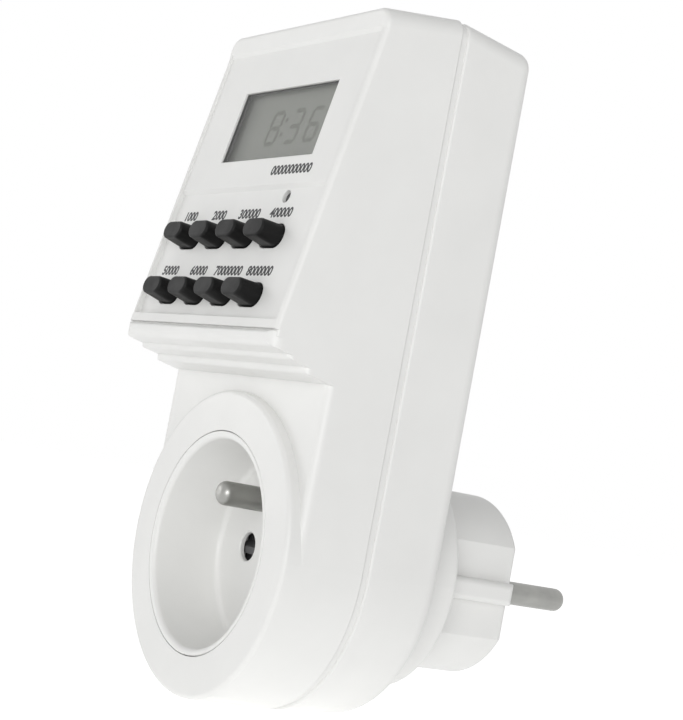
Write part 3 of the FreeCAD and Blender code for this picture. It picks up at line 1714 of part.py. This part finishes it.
def small_screw_groups():
    insert = [
        small_screw(f"insert_screw{index}", across, height, inner_front + S.flange_thickness,
                    S.flange_thickness + S.insert_screw_bite - S.bite_gap)
        for index, across, height in insert_screw_places()
    ]
    node("insert_screws", group("insert_screws", *insert))
    block_length = block_back - floor_back + S.block_screw_bite - S.bite_gap
    block = [
        small_screw(f"block_screw_{tag}", across, height, block_back, block_length)
        for tag, across, height in block_screw_places()
    ]
    node("block_screws", group("block_screws", *block))
    retainer = [
        small_screw(f"retainer_screw_{tag}", across, height, retainer_back,
                    S.retainer_thickness + S.retainer_screw_bite - S.bite_gap, 1)
        for tag, across, height in retainer_screw_places()
    ]
    node("retainer_screws", group("retainer_screws", *retainer))
    board = [
        small_screw(f"power_screw_{tag}", across, height, power_front,
                    S.power_thickness + S.power_gap - S.bite_gap, 1)
        for tag, across, height in post_places()
    ]
    node("power_board_screws", group("power_board_screws", *board))
    logic = [
        small_screw(f"logic_screw_{tag}", across, up, board_back,
                    S.board_thickness + S.logic_screw_bite - S.bite_gap)
        for tag, across, up in logic_boss_places()
    ]
    node("logic_board_screws", in_panel_frame(group("logic_board_screws", *logic)))


def build():
    front_shell()
    rear_shell()
    socket_insert()
    socket_earth_pin()
    contact_block()
    shutter()
    shutter_spring()
    socket_contact("live_contact", 1)
    socket_contact("neutral_contact", -1)
    insulation_sheet()
    earth_strap()
    rear_earth_contact()
    plug_pin("live_pin", 1)
    plug_pin("neutral_pin", -1)
    pin_retainer()
    display_window()
    display_gasket()
    lcd_glass()
    display_frame()
    zebra_strips()
    logic_board()
    controller_chip()
    crystal()
    dome_mat()
    for number, across, up in key_places():
        key_cap(number, across, up)
    reset_button()
    power_board()
    relay()
    x2_capacitor()
    smoothing_capacitor()
    varistor()
    fuse_link()
    rectifier_diodes()
    resistors()
    transistor()
    backup_battery()
    battery_clip()
    ribbon_cable()
    supply_wire("live_supply_wire", 1)
    supply_wire("neutral_supply_wire", -1)
    load_wire("live_load_wire", 1)
    load_wire("neutral_load_wire", -1)
    housing_screws()
    small_screw_groups()


build()
doc.recompute()

faults = []
for item in doc.Objects:
    if "Invalid" in item.State or "Error" in item.State:
        faults.append(f"{item.Name} {item.State}")
for item in NODES:
    if item.Shape.isNull() or not item.Shape.isValid():
        faults.append(f"{item.Label} has no valid shape")
if faults:
    raise RuntimeError("; ".join(faults))

os.makedirs("parts", exist_ok=True)
for item in NODES:
    item.Shape.exportStep(f"parts/{item.Label}.step")
print(len(NODES), "nodes written")
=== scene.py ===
import json
import math

import bpy
from mathutils import Matrix, Vector

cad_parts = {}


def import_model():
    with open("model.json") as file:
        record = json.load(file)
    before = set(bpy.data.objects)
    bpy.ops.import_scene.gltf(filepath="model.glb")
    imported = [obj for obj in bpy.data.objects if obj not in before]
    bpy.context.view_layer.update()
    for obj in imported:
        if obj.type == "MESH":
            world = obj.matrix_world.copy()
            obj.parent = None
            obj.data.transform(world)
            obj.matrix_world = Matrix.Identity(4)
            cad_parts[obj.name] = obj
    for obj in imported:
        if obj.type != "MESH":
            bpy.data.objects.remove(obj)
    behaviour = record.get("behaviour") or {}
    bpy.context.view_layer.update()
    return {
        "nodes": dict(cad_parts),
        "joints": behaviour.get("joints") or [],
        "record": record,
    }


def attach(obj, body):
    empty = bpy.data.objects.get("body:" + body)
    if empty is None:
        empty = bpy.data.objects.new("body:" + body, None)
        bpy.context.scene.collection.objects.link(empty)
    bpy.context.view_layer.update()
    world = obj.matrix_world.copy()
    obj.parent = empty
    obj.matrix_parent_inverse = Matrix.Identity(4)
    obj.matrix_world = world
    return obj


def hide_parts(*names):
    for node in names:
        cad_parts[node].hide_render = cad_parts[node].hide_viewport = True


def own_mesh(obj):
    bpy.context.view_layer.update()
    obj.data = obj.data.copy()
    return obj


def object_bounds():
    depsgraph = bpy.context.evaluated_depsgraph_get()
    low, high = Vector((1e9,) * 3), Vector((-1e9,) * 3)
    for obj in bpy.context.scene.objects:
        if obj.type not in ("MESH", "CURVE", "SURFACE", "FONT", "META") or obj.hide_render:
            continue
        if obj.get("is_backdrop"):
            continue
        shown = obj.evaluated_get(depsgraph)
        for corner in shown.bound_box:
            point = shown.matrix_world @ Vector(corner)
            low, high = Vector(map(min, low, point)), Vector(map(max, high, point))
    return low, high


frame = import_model()
NODES = frame["nodes"]
JOINTS = {joint["name"]: joint for joint in frame["joints"]}

MM = 0.001

# The photograph's view: where the camera looks, from how far, and how it is turned
IMAGE_WIDTH = 683
IMAGE_HEIGHT = 720
FOCAL_PIXELS = 1799.5
SENSOR_WIDTH = 36.0
VIEW_AZIMUTH = 57.53
VIEW_ELEVATION = -3.80
VIEW_ROLL = 10.65
VIEW_TARGET = Vector((-18.89, -28.32, 41.84)) * MM
VIEW_DISTANCE = 384.85 * MM
NEAREST_SEEN = 0.01
FARTHEST_SEEN = 20.0

# The sloping panel: its top edge, its inward direction, which is that of the keys' travel, its
# tilt, and how deep its faces lie under it
PANEL_TOP = Vector((0.0, -62.95, 99.44)) * MM
PANEL_INWARD = Vector(JOINTS["key_1_press"]["axis"])
PANEL_TILT = math.atan2(-PANEL_INWARD.z, PANEL_INWARD.y)
DISPLAY_SINK = 0.5 * MM
KEYPAD_SINK = 1.1 * MM
GLASS_FACE = 1.9 * MM

# Where the painted shade along the display's left and upper edges starts and ends: across, and up
DISPLAY_LEFT_PAINTED_SHADE = (-16.5 * MM, -9.5 * MM)
DISPLAY_TOP_PAINTED_SHADE = (91.0 * MM, 88.0 * MM)

# The studio: strengths that light the object, and those that the camera sees
FLOOR_GLOW = 0.52
FLOOR_SEEN = 0.8
WORLD_LIGHT = 0.385
WORLD_SEEN = 1.0
FLOOR_REACH = 3.0
FLOOR_DROP = 0.3 * MM

# Two square lamps: name, azimuth and elevation in degrees, power in watts
LAMPS = (
    ("front_light", 52.0, 2.0, 3.9),
    ("left_light", -45.0, 10.0, 1.0),
)
LAMP_DISTANCE = 0.9
LAMP_SIZE = 0.5

# Numbers printed over the keys and over the reset hole: across from the panel's middle, and
# down the panel from its top edge
LEGEND_LEFT = -21.8 * MM
LEGEND_PITCH = 12.0 * MM
KEY_ROWS = (41.0 * MM, 52.9 * MM)
KEY_LEGENDS = (("1000", "2000", "300000", "400000"), ("50000", "60000", "70000000", "8000000"))
RESET_LEGEND = "00000000000"
LEGEND_RISE = 4.7 * MM
LEGEND_HEIGHT = 1.9 * MM
LEGEND_WEIGHT = 0.09 * MM
RESET_ACROSS = 13.0 * MM
RESET_LEGEND_DOWN = 27.6 * MM
LEGEND_SLANT = 0.15
PRINT_THICKNESS = 0.02 * MM
FONT_SIZE_PER_HEIGHT = 1.4


# Node helpers

def new_material(name):
    material = bpy.data.materials.new(name)
    material.use_nodes = True
    tree = material.node_tree
    shader = tree.nodes["Principled BSDF"]
    return material, tree, shader


def add(tree, kind, **inputs):
    """A node with constant inputs, named with _ for each space."""
    node = tree.nodes.new(kind)
    for name, value in inputs.items():
        node.inputs[name.replace("_", " ")].default_value = value
    return node


def object_coordinates(tree):
    return tree.nodes.new("ShaderNodeTexCoord").outputs["Object"]


def noise(tree, where, per_metre, detail=4.0, roughness=0.55):
    """A noise pattern of per_metre waves to the metre."""
    node = add(tree, "ShaderNodeTexNoise", Scale=per_metre, Detail=detail, Roughness=roughness)
    tree.links.new(where, node.inputs["Vector"])
    return node.outputs["Fac"]


def ramp(tree, source, low, high, first, last):
    """Maps source from low..high to two colours."""
    node = tree.nodes.new("ShaderNodeValToRGB")
    node.color_ramp.elements[0].position = low
    node.color_ramp.elements[1].position = high
    node.color_ramp.elements[0].color = (*first, 1.0)
    node.color_ramp.elements[1].color = (*last, 1.0)
    tree.links.new(source, node.inputs["Fac"])
    return node.outputs["Color"]


def spread(tree, source, low, high):
    """Maps source from 0.3..0.7 to low..high."""
    node = add(tree, "ShaderNodeMapRange", From_Min=0.3, From_Max=0.7, To_Min=low, To_Max=high)
    tree.links.new(source, node.inputs["Value"])
    return node.outputs["Result"]


def bump(tree, shader, height, strength, distance, edge=0.0):
    """Relief from a height; with an edge radius, sharp edges also catch the light."""
    node = add(tree, "ShaderNodeBump", Strength=strength, Distance=distance)
    tree.links.new(height, node.inputs["Height"])
    if edge:
        soft = add(tree, "ShaderNodeBevel", Radius=edge)
        soft.samples = 4
        tree.links.new(soft.outputs["Normal"], node.inputs["Normal"])
    tree.links.new(node.outputs["Normal"], shader.inputs["Normal"])


def fade(tree, source, start, end, least):
    """A factor that grows from least at start to 1 at end."""
    node = add(tree, "ShaderNodeMapRange", From_Min=start, From_Max=end, To_Min=least, To_Max=1.0)
    tree.links.new(source, node.inputs["Value"])
    return node.outputs["Result"]


def seen_by(tree, rays, lit, seen):
    """A strength: seen for the named kinds of ray, lit for the light that falls on things."""
    path = tree.nodes.new("ShaderNodeLightPath")
    source = path.outputs[rays[0]]
    for ray in rays[1:]:
        either = tree.nodes.new("ShaderNodeMath")
        either.operation = "MAXIMUM"
        tree.links.new(source, either.inputs[0])
        tree.links.new(path.outputs[ray], either.inputs[1])
        source = either.outputs["Value"]
    level = add(tree, "ShaderNodeMapRange", To_Min=lit, To_Max=seen)
    tree.links.new(source, level.inputs["Value"])
    return level.outputs["Result"]


def shade(colour, factor):
    """The colour made lighter or darker, no channel above 1."""
    return tuple(min(1.0, channel * factor) for channel in colour)


# Materials

def moulded_plastic(name, colour, roughness, grain=0.25, edge=0.0):
    """Moulded plastic: faint mottling, uneven gloss and a fine spark-eroded grain."""
    material, tree, shader = new_material(name)
    where = object_coordinates(tree)
    mottle = noise(tree, where, 55.0, detail=3.0)
    colours = ramp(tree, mottle, 0.3, 0.7, shade(colour, 0.98), shade(colour, 1.02))
    tree.links.new(colours, shader.inputs["Base Color"])
    sheen = noise(tree, where, 420.0, detail=5.0)
    gloss = spread(tree, sheen, roughness - 0.05, roughness + 0.06)
    tree.links.new(gloss, shader.inputs["Roughness"])
    bump(tree, shader, noise(tree, where, 4200.0, detail=2.0), grain, 0.02 * MM, edge)
    return material


def metal(name, colour, roughness, brushed=(1.0, 1.0, 1.0)):
    """Plated or drawn metal: fine scratches, drawn out where brushed is small, and small
    changes of tone."""
    material, tree, shader = new_material(name)
    where = object_coordinates(tree)
    stretch = add(tree, "ShaderNodeMapping", Scale=brushed)
    tree.links.new(where, stretch.inputs["Vector"])
    lines = noise(tree, stretch.outputs["Vector"], 3000.0, detail=3.0)
    tone = noise(tree, where, 160.0, detail=3.0)
    colours = ramp(tree, tone, 0.35, 0.65, shade(colour, 0.9), shade(colour, 1.06))
    tree.links.new(colours, shader.inputs["Base Color"])
    tree.links.new(spread(tree, lines, roughness - 0.06, roughness + 0.1),
                   shader.inputs["Roughness"])
    shader.inputs["Metallic"].default_value = 1.0
    bump(tree, shader, lines, 0.2, 0.01 * MM)
    return material


def clear_window(name):
    """Clear plastic window: mostly see-through, with a light scatter of fine scratches."""
    material, tree, shader = new_material(name)
    where = object_coordinates(tree)
    scratches = noise(tree, where, 900.0, detail=6.0, roughness=0.7)
    shader.inputs["Base Color"].default_value = (0.78, 0.79, 0.77, 1.0)
    tree.links.new(spread(tree, scratches, 0.10, 0.18), shader.inputs["Roughness"])
    shader.inputs["Alpha"].default_value = 0.08
    shader.inputs["IOR"].default_value = 1.49
    return material


def display_cell(name, colour):
    """The reflective cell: a soft grey with the faintest vertical banding, and painted shade along
    its left and upper edges, standing in for the shadow of the window's frame."""
    material, tree, shader = new_material(name)
    where = object_coordinates(tree)
    bands = add(tree, "ShaderNodeMapping", Scale=(1.0, 0.08, 0.08))
    tree.links.new(where, bands.inputs["Vector"])
    columns = noise(tree, bands.outputs["Vector"], 240.0, detail=2.0)
    colours = ramp(tree, columns, 0.3, 0.7, shade(colour, 0.96), shade(colour, 1.04))
    axes = tree.nodes.new("ShaderNodeSeparateXYZ")
    tree.links.new(where, axes.inputs["Vector"])
    # Painted shade: the cell's colour is darkened towards its left and upper edges, in place of
    # the window frame's shadow
    edges = tree.nodes.new("ShaderNodeMath")
    edges.operation = "MULTIPLY"
    tree.links.new(fade(tree, axes.outputs["X"], *DISPLAY_LEFT_PAINTED_SHADE, 0.28), edges.inputs[0])
    tree.links.new(fade(tree, axes.outputs["Z"], *DISPLAY_TOP_PAINTED_SHADE, 0.5), edges.inputs[1])
    shaded = tree.nodes.new("ShaderNodeVectorMath")
    shaded.operation = "SCALE"
    tree.links.new(colours, shaded.inputs[0])
    tree.links.new(edges.outputs["Value"], shaded.inputs["Scale"])
    tree.links.new(shaded.outputs["Vector"], shader.inputs["Base Color"])
    tree.links.new(spread(tree, noise(tree, where, 700.0), 0.32, 0.42),
                   shader.inputs["Roughness"])
    return material


def circuit_board(name):
    """Solder mask over copper: lighter tracks run under a green film."""
    material, tree, shader = new_material(name)
    where = object_coordinates(tree)
    cells = add(tree, "ShaderNodeTexVoronoi", Scale=260.0, Randomness=0.35)
    cells.distance = "MANHATTAN"
    tree.links.new(where, cells.inputs["Vector"])
    tracks = ramp(tree, cells.outputs["Distance"], 0.42, 0.5, (0.02, 0.16, 0.06),
                  (0.04, 0.27, 0.10))
    tree.links.new(tracks, shader.inputs["Base Color"])
    shader.inputs["Roughness"].default_value = 0.35
    bump(tree, shader, cells.outputs["Distance"], 0.3, 0.03 * MM)
    return material


def fibre_sheet(name, colour):
    """Pressed fibre: short strands in two tones."""
    material, tree, shader = new_material(name)
    where = object_coordinates(tree)
    stretch = add(tree, "ShaderNodeMapping", Scale=(1.0, 1.0, 4.0))
    tree.links.new(where, stretch.inputs["Vector"])
    strands = noise(tree, stretch.outputs["Vector"], 600.0, detail=8.0, roughness=0.7)
    colours = ramp(tree, strands, 0.35, 0.65, shade(colour, 0.75), shade(colour, 1.15))
    tree.links.new(colours, shader.inputs["Base Color"])
    shader.inputs["Roughness"].default_value = 0.8
    bump(tree, shader, strands, 0.4, 0.03 * MM)
    return material


def rubber(name, colour):
    """Silicone or cable sheath: dull, a little dusty."""
    material, tree, shader = new_material(name)
    where = object_coordinates(tree)
    dust = noise(tree, where, 300.0, detail=6.0)
    colours = ramp(tree, dust, 0.35, 0.75, colour, shade(colour, 1.3))
    tree.links.new(colours, shader.inputs["Base Color"])
    tree.links.new(spread(tree, dust, 0.5, 0.68), shader.inputs["Roughness"])
    shader.inputs["Sheen Weight"].default_value = 0.15
    bump(tree, shader, noise(tree, where, 2200.0, detail=3.0), 0.2, 0.02 * MM)
    return material


def key_plastic(name, colour):
    """Charcoal key caps: dull tops, handled a little smoother in patches."""
    material, tree, shader = new_material(name)
    where = object_coordinates(tree)
    handled = noise(tree, where, 260.0)
    colours = ramp(tree, handled, 0.3, 0.75, colour, shade(colour, 1.45))
    tree.links.new(colours, shader.inputs["Base Color"])
    tree.links.new(spread(tree, handled, 0.55, 0.4), shader.inputs["Roughness"])
    shader.inputs["Specular IOR Level"].default_value = 0.2
    bump(tree, shader, noise(tree, where, 5200.0, detail=2.0), 0.3, 0.02 * MM)
    return material


def ink(name, colour):
    """Screen-printed ink, slightly uneven."""
    material, tree, shader = new_material(name)
    where = object_coordinates(tree)
    cover = noise(tree, where, 1800.0)
    colours = ramp(tree, cover, 0.3, 0.7, colour, shade(colour, 1.6))
    tree.links.new(colours, shader.inputs["Base Color"])
    shader.inputs["Roughness"].default_value = 0.6
    return material


HOUSING_WHITE = (0.80, 0.80, 0.785)
SOFT_EDGE = 0.18 * MM

FINISHES = {
    "housing": moulded_plastic("housing_plastic", HOUSING_WHITE, 0.42, edge=SOFT_EDGE),
    "socket": moulded_plastic("socket_plastic", shade(HOUSING_WHITE, 1.02), 0.38, grain=0.18,
                              edge=SOFT_EDGE),
    "keys": key_plastic("key_plastic", (0.003, 0.003, 0.003)),
    "reset": moulded_plastic("reset_plastic", (0.025, 0.025, 0.025), 0.5),
    "window": clear_window("window_plastic"),
    "display": display_cell("display_cell", (0.150, 0.158, 0.135)),
    "display_frame": moulded_plastic("frame_plastic", (0.62, 0.62, 0.60), 0.5),
    "plated_metal": metal("nickel_plate", (0.34, 0.34, 0.325), 0.34, brushed=(1.0, 0.06, 1.0)),
    "contact_metal": metal("brass_strip", (0.72, 0.50, 0.22), 0.32, brushed=(1.0, 1.0, 0.1)),
    "steel": metal("zinc_plate", (0.55, 0.56, 0.58), 0.30),
    "board": circuit_board("circuit_board"),
    "holder": moulded_plastic("holder_plastic", (0.035, 0.035, 0.038), 0.5),
    "shutter": moulded_plastic("shutter_plastic", (0.075, 0.075, 0.078), 0.5),
    "retainer": moulded_plastic("retainer_plastic", (0.50, 0.49, 0.45), 0.55),
    "insulation": fibre_sheet("fibre_sheet", (0.50, 0.38, 0.20)),
    "rubber": rubber("silicone_mat", (0.20, 0.20, 0.21)),
    "zebra": rubber("contact_rubber", (0.05, 0.05, 0.05)),
    "relay_case": moulded_plastic("relay_plastic", (0.015, 0.016, 0.02), 0.35),
    "film_capacitor": moulded_plastic("capacitor_box", (0.66, 0.50, 0.05), 0.35),
    "can": moulded_plastic("capacitor_sleeve", (0.02, 0.025, 0.10), 0.28),
    "varistor": moulded_plastic("varistor_coating", (0.02, 0.09, 0.32), 0.4),
    "fuse": moulded_plastic("fuse_glass", (0.72, 0.74, 0.72), 0.12),
    "chip": moulded_plastic("chip_compound", (0.015, 0.015, 0.015), 0.6),
    "resistor": moulded_plastic("resistor_lacquer", (0.50, 0.36, 0.20), 0.4),
    "battery": metal("battery_steel", (0.66, 0.66, 0.66), 0.22),
    "wire_brown": rubber("brown_sheath", (0.12, 0.045, 0.02)),
    "wire_blue": rubber("blue_sheath", (0.02, 0.07, 0.30)),
    "ribbon": moulded_plastic("ribbon_sheath", (0.42, 0.42, 0.43), 0.5),
}


def finish_nodes():
    """Gives each CAD node the finish of its material slot."""
    slot_of = {row["node"]: row["material_slot"] for row in frame["record"]["subparts"]}
    for name, node in NODES.items():
        material = FINISHES[slot_of[name]]
        node.data.materials.clear()
        node.data.materials.append(material)


# New pieces on the housing

def link(item):
    bpy.context.scene.collection.objects.link(item)


def housing_piece(name, mesh):
    """A new object that rides the housing; its finish comes with its mesh."""
    piece = bpy.data.objects.new(name, mesh)
    link(piece)
    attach(piece, "housing")
    return piece


# Printed numbers

def panel_matrix(across, down, depth):
    """Stands a flat drawing on the panel: its own X across, Y up, Z out of the panel."""
    tilt = Matrix.Rotation(math.radians(90) - PANEL_TILT, 4, "X")
    up = Vector((0, math.sin(PANEL_TILT), math.cos(PANEL_TILT)))
    place = PANEL_TOP + PANEL_INWARD * depth - up * down + Vector((across, 0, 0))
    return Matrix.Translation(place) @ tilt


def printed(name, text, across, down, depth, material):
    """Slanted figures as thin solids on the panel, centred on their place."""
    curve = bpy.data.curves.new(name, "FONT")
    curve.body = text
    curve.align_x = "CENTER"
    curve.align_y = "CENTER"
    curve.size = LEGEND_HEIGHT * FONT_SIZE_PER_HEIGHT
    curve.shear = LEGEND_SLANT
    curve.offset = LEGEND_WEIGHT
    curve.extrude = PRINT_THICKNESS / 2
    curve.resolution_u = 4
    flat = bpy.data.objects.new(f"{name}_curve", curve)
    link(flat)
    bpy.context.view_layer.update()
    evaluated = flat.evaluated_get(bpy.context.evaluated_depsgraph_get())
    mesh = bpy.data.meshes.new_from_object(evaluated)
    bpy.data.objects.remove(flat)
    mesh.transform(panel_matrix(across, down, depth - PRINT_THICKNESS / 2))
    mesh.materials.clear()
    mesh.materials.append(material)
    housing_piece(name, mesh)


def key_numbers(material):
    """One number over each key, in two rows."""
    for row, down in enumerate(KEY_ROWS):
        for column, legend in enumerate(KEY_LEGENDS[row]):
            number = row * len(KEY_LEGENDS[row]) + column + 1
            across = LEGEND_LEFT + column * LEGEND_PITCH
            printed(f"key_number_{number}", legend, across, down - LEGEND_RISE, KEYPAD_SINK,
                    material)


# Display digits, as the seven segments of each figure

SEGMENTS = {
    "0": "abcdef", "1": "bc", "2": "abged", "3": "abgcd", "4": "fgbc",
    "5": "afgcd", "6": "afgcde", "7": "abc", "8": "abcdefg", "9": "abcdfg",
}
DIGIT_WIDTH = 4.6 * MM
DIGIT_HEIGHT = 7.7 * MM
DIGIT_PITCH = 7.0 * MM
COLON_WIDTH = 0.6 * MM
SEGMENT_WIDTH = 0.95 * MM
SEGMENT_GAP = 0.08 * MM
DIGIT_SLANT = 0.08
TIME_SHOWN = "8:36"
FIRST_DIGIT_ACROSS = -2.0 * MM
DIGITS_DOWN = 17.4 * MM


def segment_outline(letter):
    """The six corners of one bar of a digit, centred on the digit."""
    half_width = (DIGIT_WIDTH - SEGMENT_WIDTH) / 2
    half_height = (DIGIT_HEIGHT - SEGMENT_WIDTH) / 2
    flat = {"a": half_height, "g": 0.0, "d": -half_height}
    upright = {"f": (-1, 1), "b": (1, 1), "e": (-1, -1), "c": (1, -1)}
    thick = SEGMENT_WIDTH / 2
    if letter in flat:
        centre = Vector((0.0, flat[letter]))
        reach = half_width - SEGMENT_GAP
        along, side = Vector((1, 0)), Vector((0, 1))
    else:
        side_sign, level = upright[letter]
        centre = Vector((side_sign * half_width, level * half_height / 2))
        reach = half_height / 2 - SEGMENT_GAP
        along, side = Vector((0, 1)), Vector((1, 0))
    return [
        centre - along * reach,
        centre - along * (reach - thick) + side * thick,
        centre + along * (reach - thick) + side * thick,
        centre + along * reach,
        centre + along * (reach - thick) - side * thick,
        centre - along * (reach - thick) - side * thick,
    ]


def prisms(name, outlines, slant):
    """A mesh of thin prisms on the flat outlines, in the drawing's own frame."""
    vertices = []
    faces = []
    for outline in outlines:
        count = len(outline)
        start = len(vertices)
        for level in (0.0, PRINT_THICKNESS):
            vertices += [(x + slant * y, y, level) for x, y in outline]
        low = list(range(start, start + count))
        high = [index + count for index in low]
        faces += [low[::-1], high]
        faces += [
            [low[index], low[(index + 1) % count], high[(index + 1) % count], high[index]]
            for index in range(count)
        ]
    mesh = bpy.data.meshes.new(name)
    mesh.from_pydata(vertices, [], faces)
    mesh.validate()
    return mesh


def display_digits(material):
    """Three large figures, a colon after the first, low on the right of the cell."""
    outlines = []
    cursor = 0.0
    for figure in TIME_SHOWN:
        if figure == ":":
            half = SEGMENT_WIDTH / 2
            for level in (-1, 1):
                centre = Vector((cursor - DIGIT_PITCH / 2, level * DIGIT_HEIGHT / 5))
                corners = ((-half, -half), (half, -half), (half, half), (-half, half))
                outlines.append([centre + Vector(corner) for corner in corners])
            cursor += COLON_WIDTH
            continue
        for letter in SEGMENTS[figure]:
            outlines.append([point + Vector((cursor, 0)) for point in segment_outline(letter)])
        cursor += DIGIT_PITCH
    mesh = prisms("display_digits", outlines, DIGIT_SLANT)
    mesh.materials.append(material)
    mesh.transform(panel_matrix(FIRST_DIGIT_ACROSS, DIGITS_DOWN, GLASS_FACE))
    housing_piece("display_digits", mesh)


# The shutter's spring

def shutter_coil():
    """The coil under the shutter, its lower end fixed, as a piece that rides the housing."""
    piece = housing_piece("shutter_coil", NODES["shutter_spring"].data.copy())
    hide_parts("shutter_spring")
    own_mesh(piece)


# Stage, light and camera

def white_ground():
    """A pale, faintly glowing surface that the camera and clear reflections see as white."""
    material, tree, shader = new_material("floor_white")
    shader.inputs["Base Color"].default_value = (0.80, 0.80, 0.80, 1.0)
    shader.inputs["Roughness"].default_value = 0.9
    shader.inputs["Specular IOR Level"].default_value = 0.1
    shader.inputs["Emission Color"].default_value = (1.0, 1.0, 1.0, 1.0)
    rays = ("Is Camera Ray", "Is Glossy Ray", "Is Transmission Ray")
    tree.links.new(seen_by(tree, rays, FLOOR_GLOW, FLOOR_SEEN), shader.inputs["Emission Strength"])
    return material


def floor():
    """The ground just under the object, far wider than the view."""
    low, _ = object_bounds()
    level = low[2] - FLOOR_DROP
    corners = [(x * FLOOR_REACH, y * FLOOR_REACH, level)
               for x, y in ((-1, -1), (1, -1), (1, 1), (-1, 1))]
    mesh = bpy.data.meshes.new("floor")
    mesh.from_pydata(corners, [], [(0, 1, 2, 3)])
    mesh.materials.append(white_ground())
    piece = bpy.data.objects.new("floor", mesh)
    link(piece)
    piece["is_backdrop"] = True


def world():
    """White all round, at a strength that lights the object softly."""
    studio = bpy.data.worlds.new("studio")
    bpy.context.scene.world = studio
    studio.use_nodes = True
    tree = studio.node_tree
    background = tree.nodes["Background"]
    background.inputs["Color"].default_value = (1.0, 1.0, 1.0, 1.0)
    rays = ("Is Camera Ray", "Is Glossy Ray")
    tree.links.new(seen_by(tree, rays, WORLD_LIGHT, WORLD_SEEN), background.inputs["Strength"])


def direction(azimuth, elevation):
    """From the object outwards, in degrees: azimuth 0 is the front and 90 the right."""
    around, above = math.radians(azimuth), math.radians(elevation)
    return Vector((math.sin(around) * math.cos(above), -math.cos(around) * math.cos(above),
                   math.sin(above)))


def soft_light(name, azimuth, elevation, power):
    """A square area lamp that faces the object."""
    lamp = bpy.data.lights.new(name, "AREA")
    lamp.energy = power
    lamp.size = LAMP_SIZE
    out = direction(azimuth, elevation)
    item = bpy.data.objects.new(name, lamp)
    item.location = VIEW_TARGET + out * LAMP_DISTANCE
    item.rotation_euler = out.to_track_quat("Z", "Y").to_euler()
    link(item)


def camera():
    """The photograph's camera, turned about its own axis by the roll."""
    back = direction(VIEW_AZIMUTH, VIEW_ELEVATION)
    right = (-back).cross(Vector((0, 0, 1))).normalized()
    up = right.cross(-back).normalized()
    roll = math.radians(VIEW_ROLL)
    turned_right = right * math.cos(roll) + up * math.sin(roll)
    turned_up = up * math.cos(roll) - right * math.sin(roll)
    lens = bpy.data.cameras.new("camera")
    lens.sensor_width = SENSOR_WIDTH
    lens.lens = FOCAL_PIXELS / max(IMAGE_WIDTH, IMAGE_HEIGHT) * SENSOR_WIDTH
    lens.clip_start = NEAREST_SEEN
    lens.clip_end = FARTHEST_SEEN
    item = bpy.data.objects.new("camera", lens)
    rotation = Matrix((turned_right, turned_up, back)).transposed()
    item.matrix_world = Matrix.Translation(VIEW_TARGET + back * VIEW_DISTANCE) @ rotation.to_4x4()
    link(item)
    bpy.context.scene.camera = item


finish_nodes()
BLACK_INK = ink("black_ink", (0.03, 0.03, 0.032))
SEGMENT_INK = ink("segment_grey", (0.085, 0.088, 0.074))
key_numbers(BLACK_INK)
printed("reset_number", RESET_LEGEND, RESET_ACROSS, RESET_LEGEND_DOWN, DISPLAY_SINK, BLACK_INK)
display_digits(SEGMENT_INK)
shutter_coil()
floor()
world()
for lamp_row in LAMPS:
    soft_light(*lamp_row)
camera()
bpy.context.scene.view_settings.view_transform = "Standard"
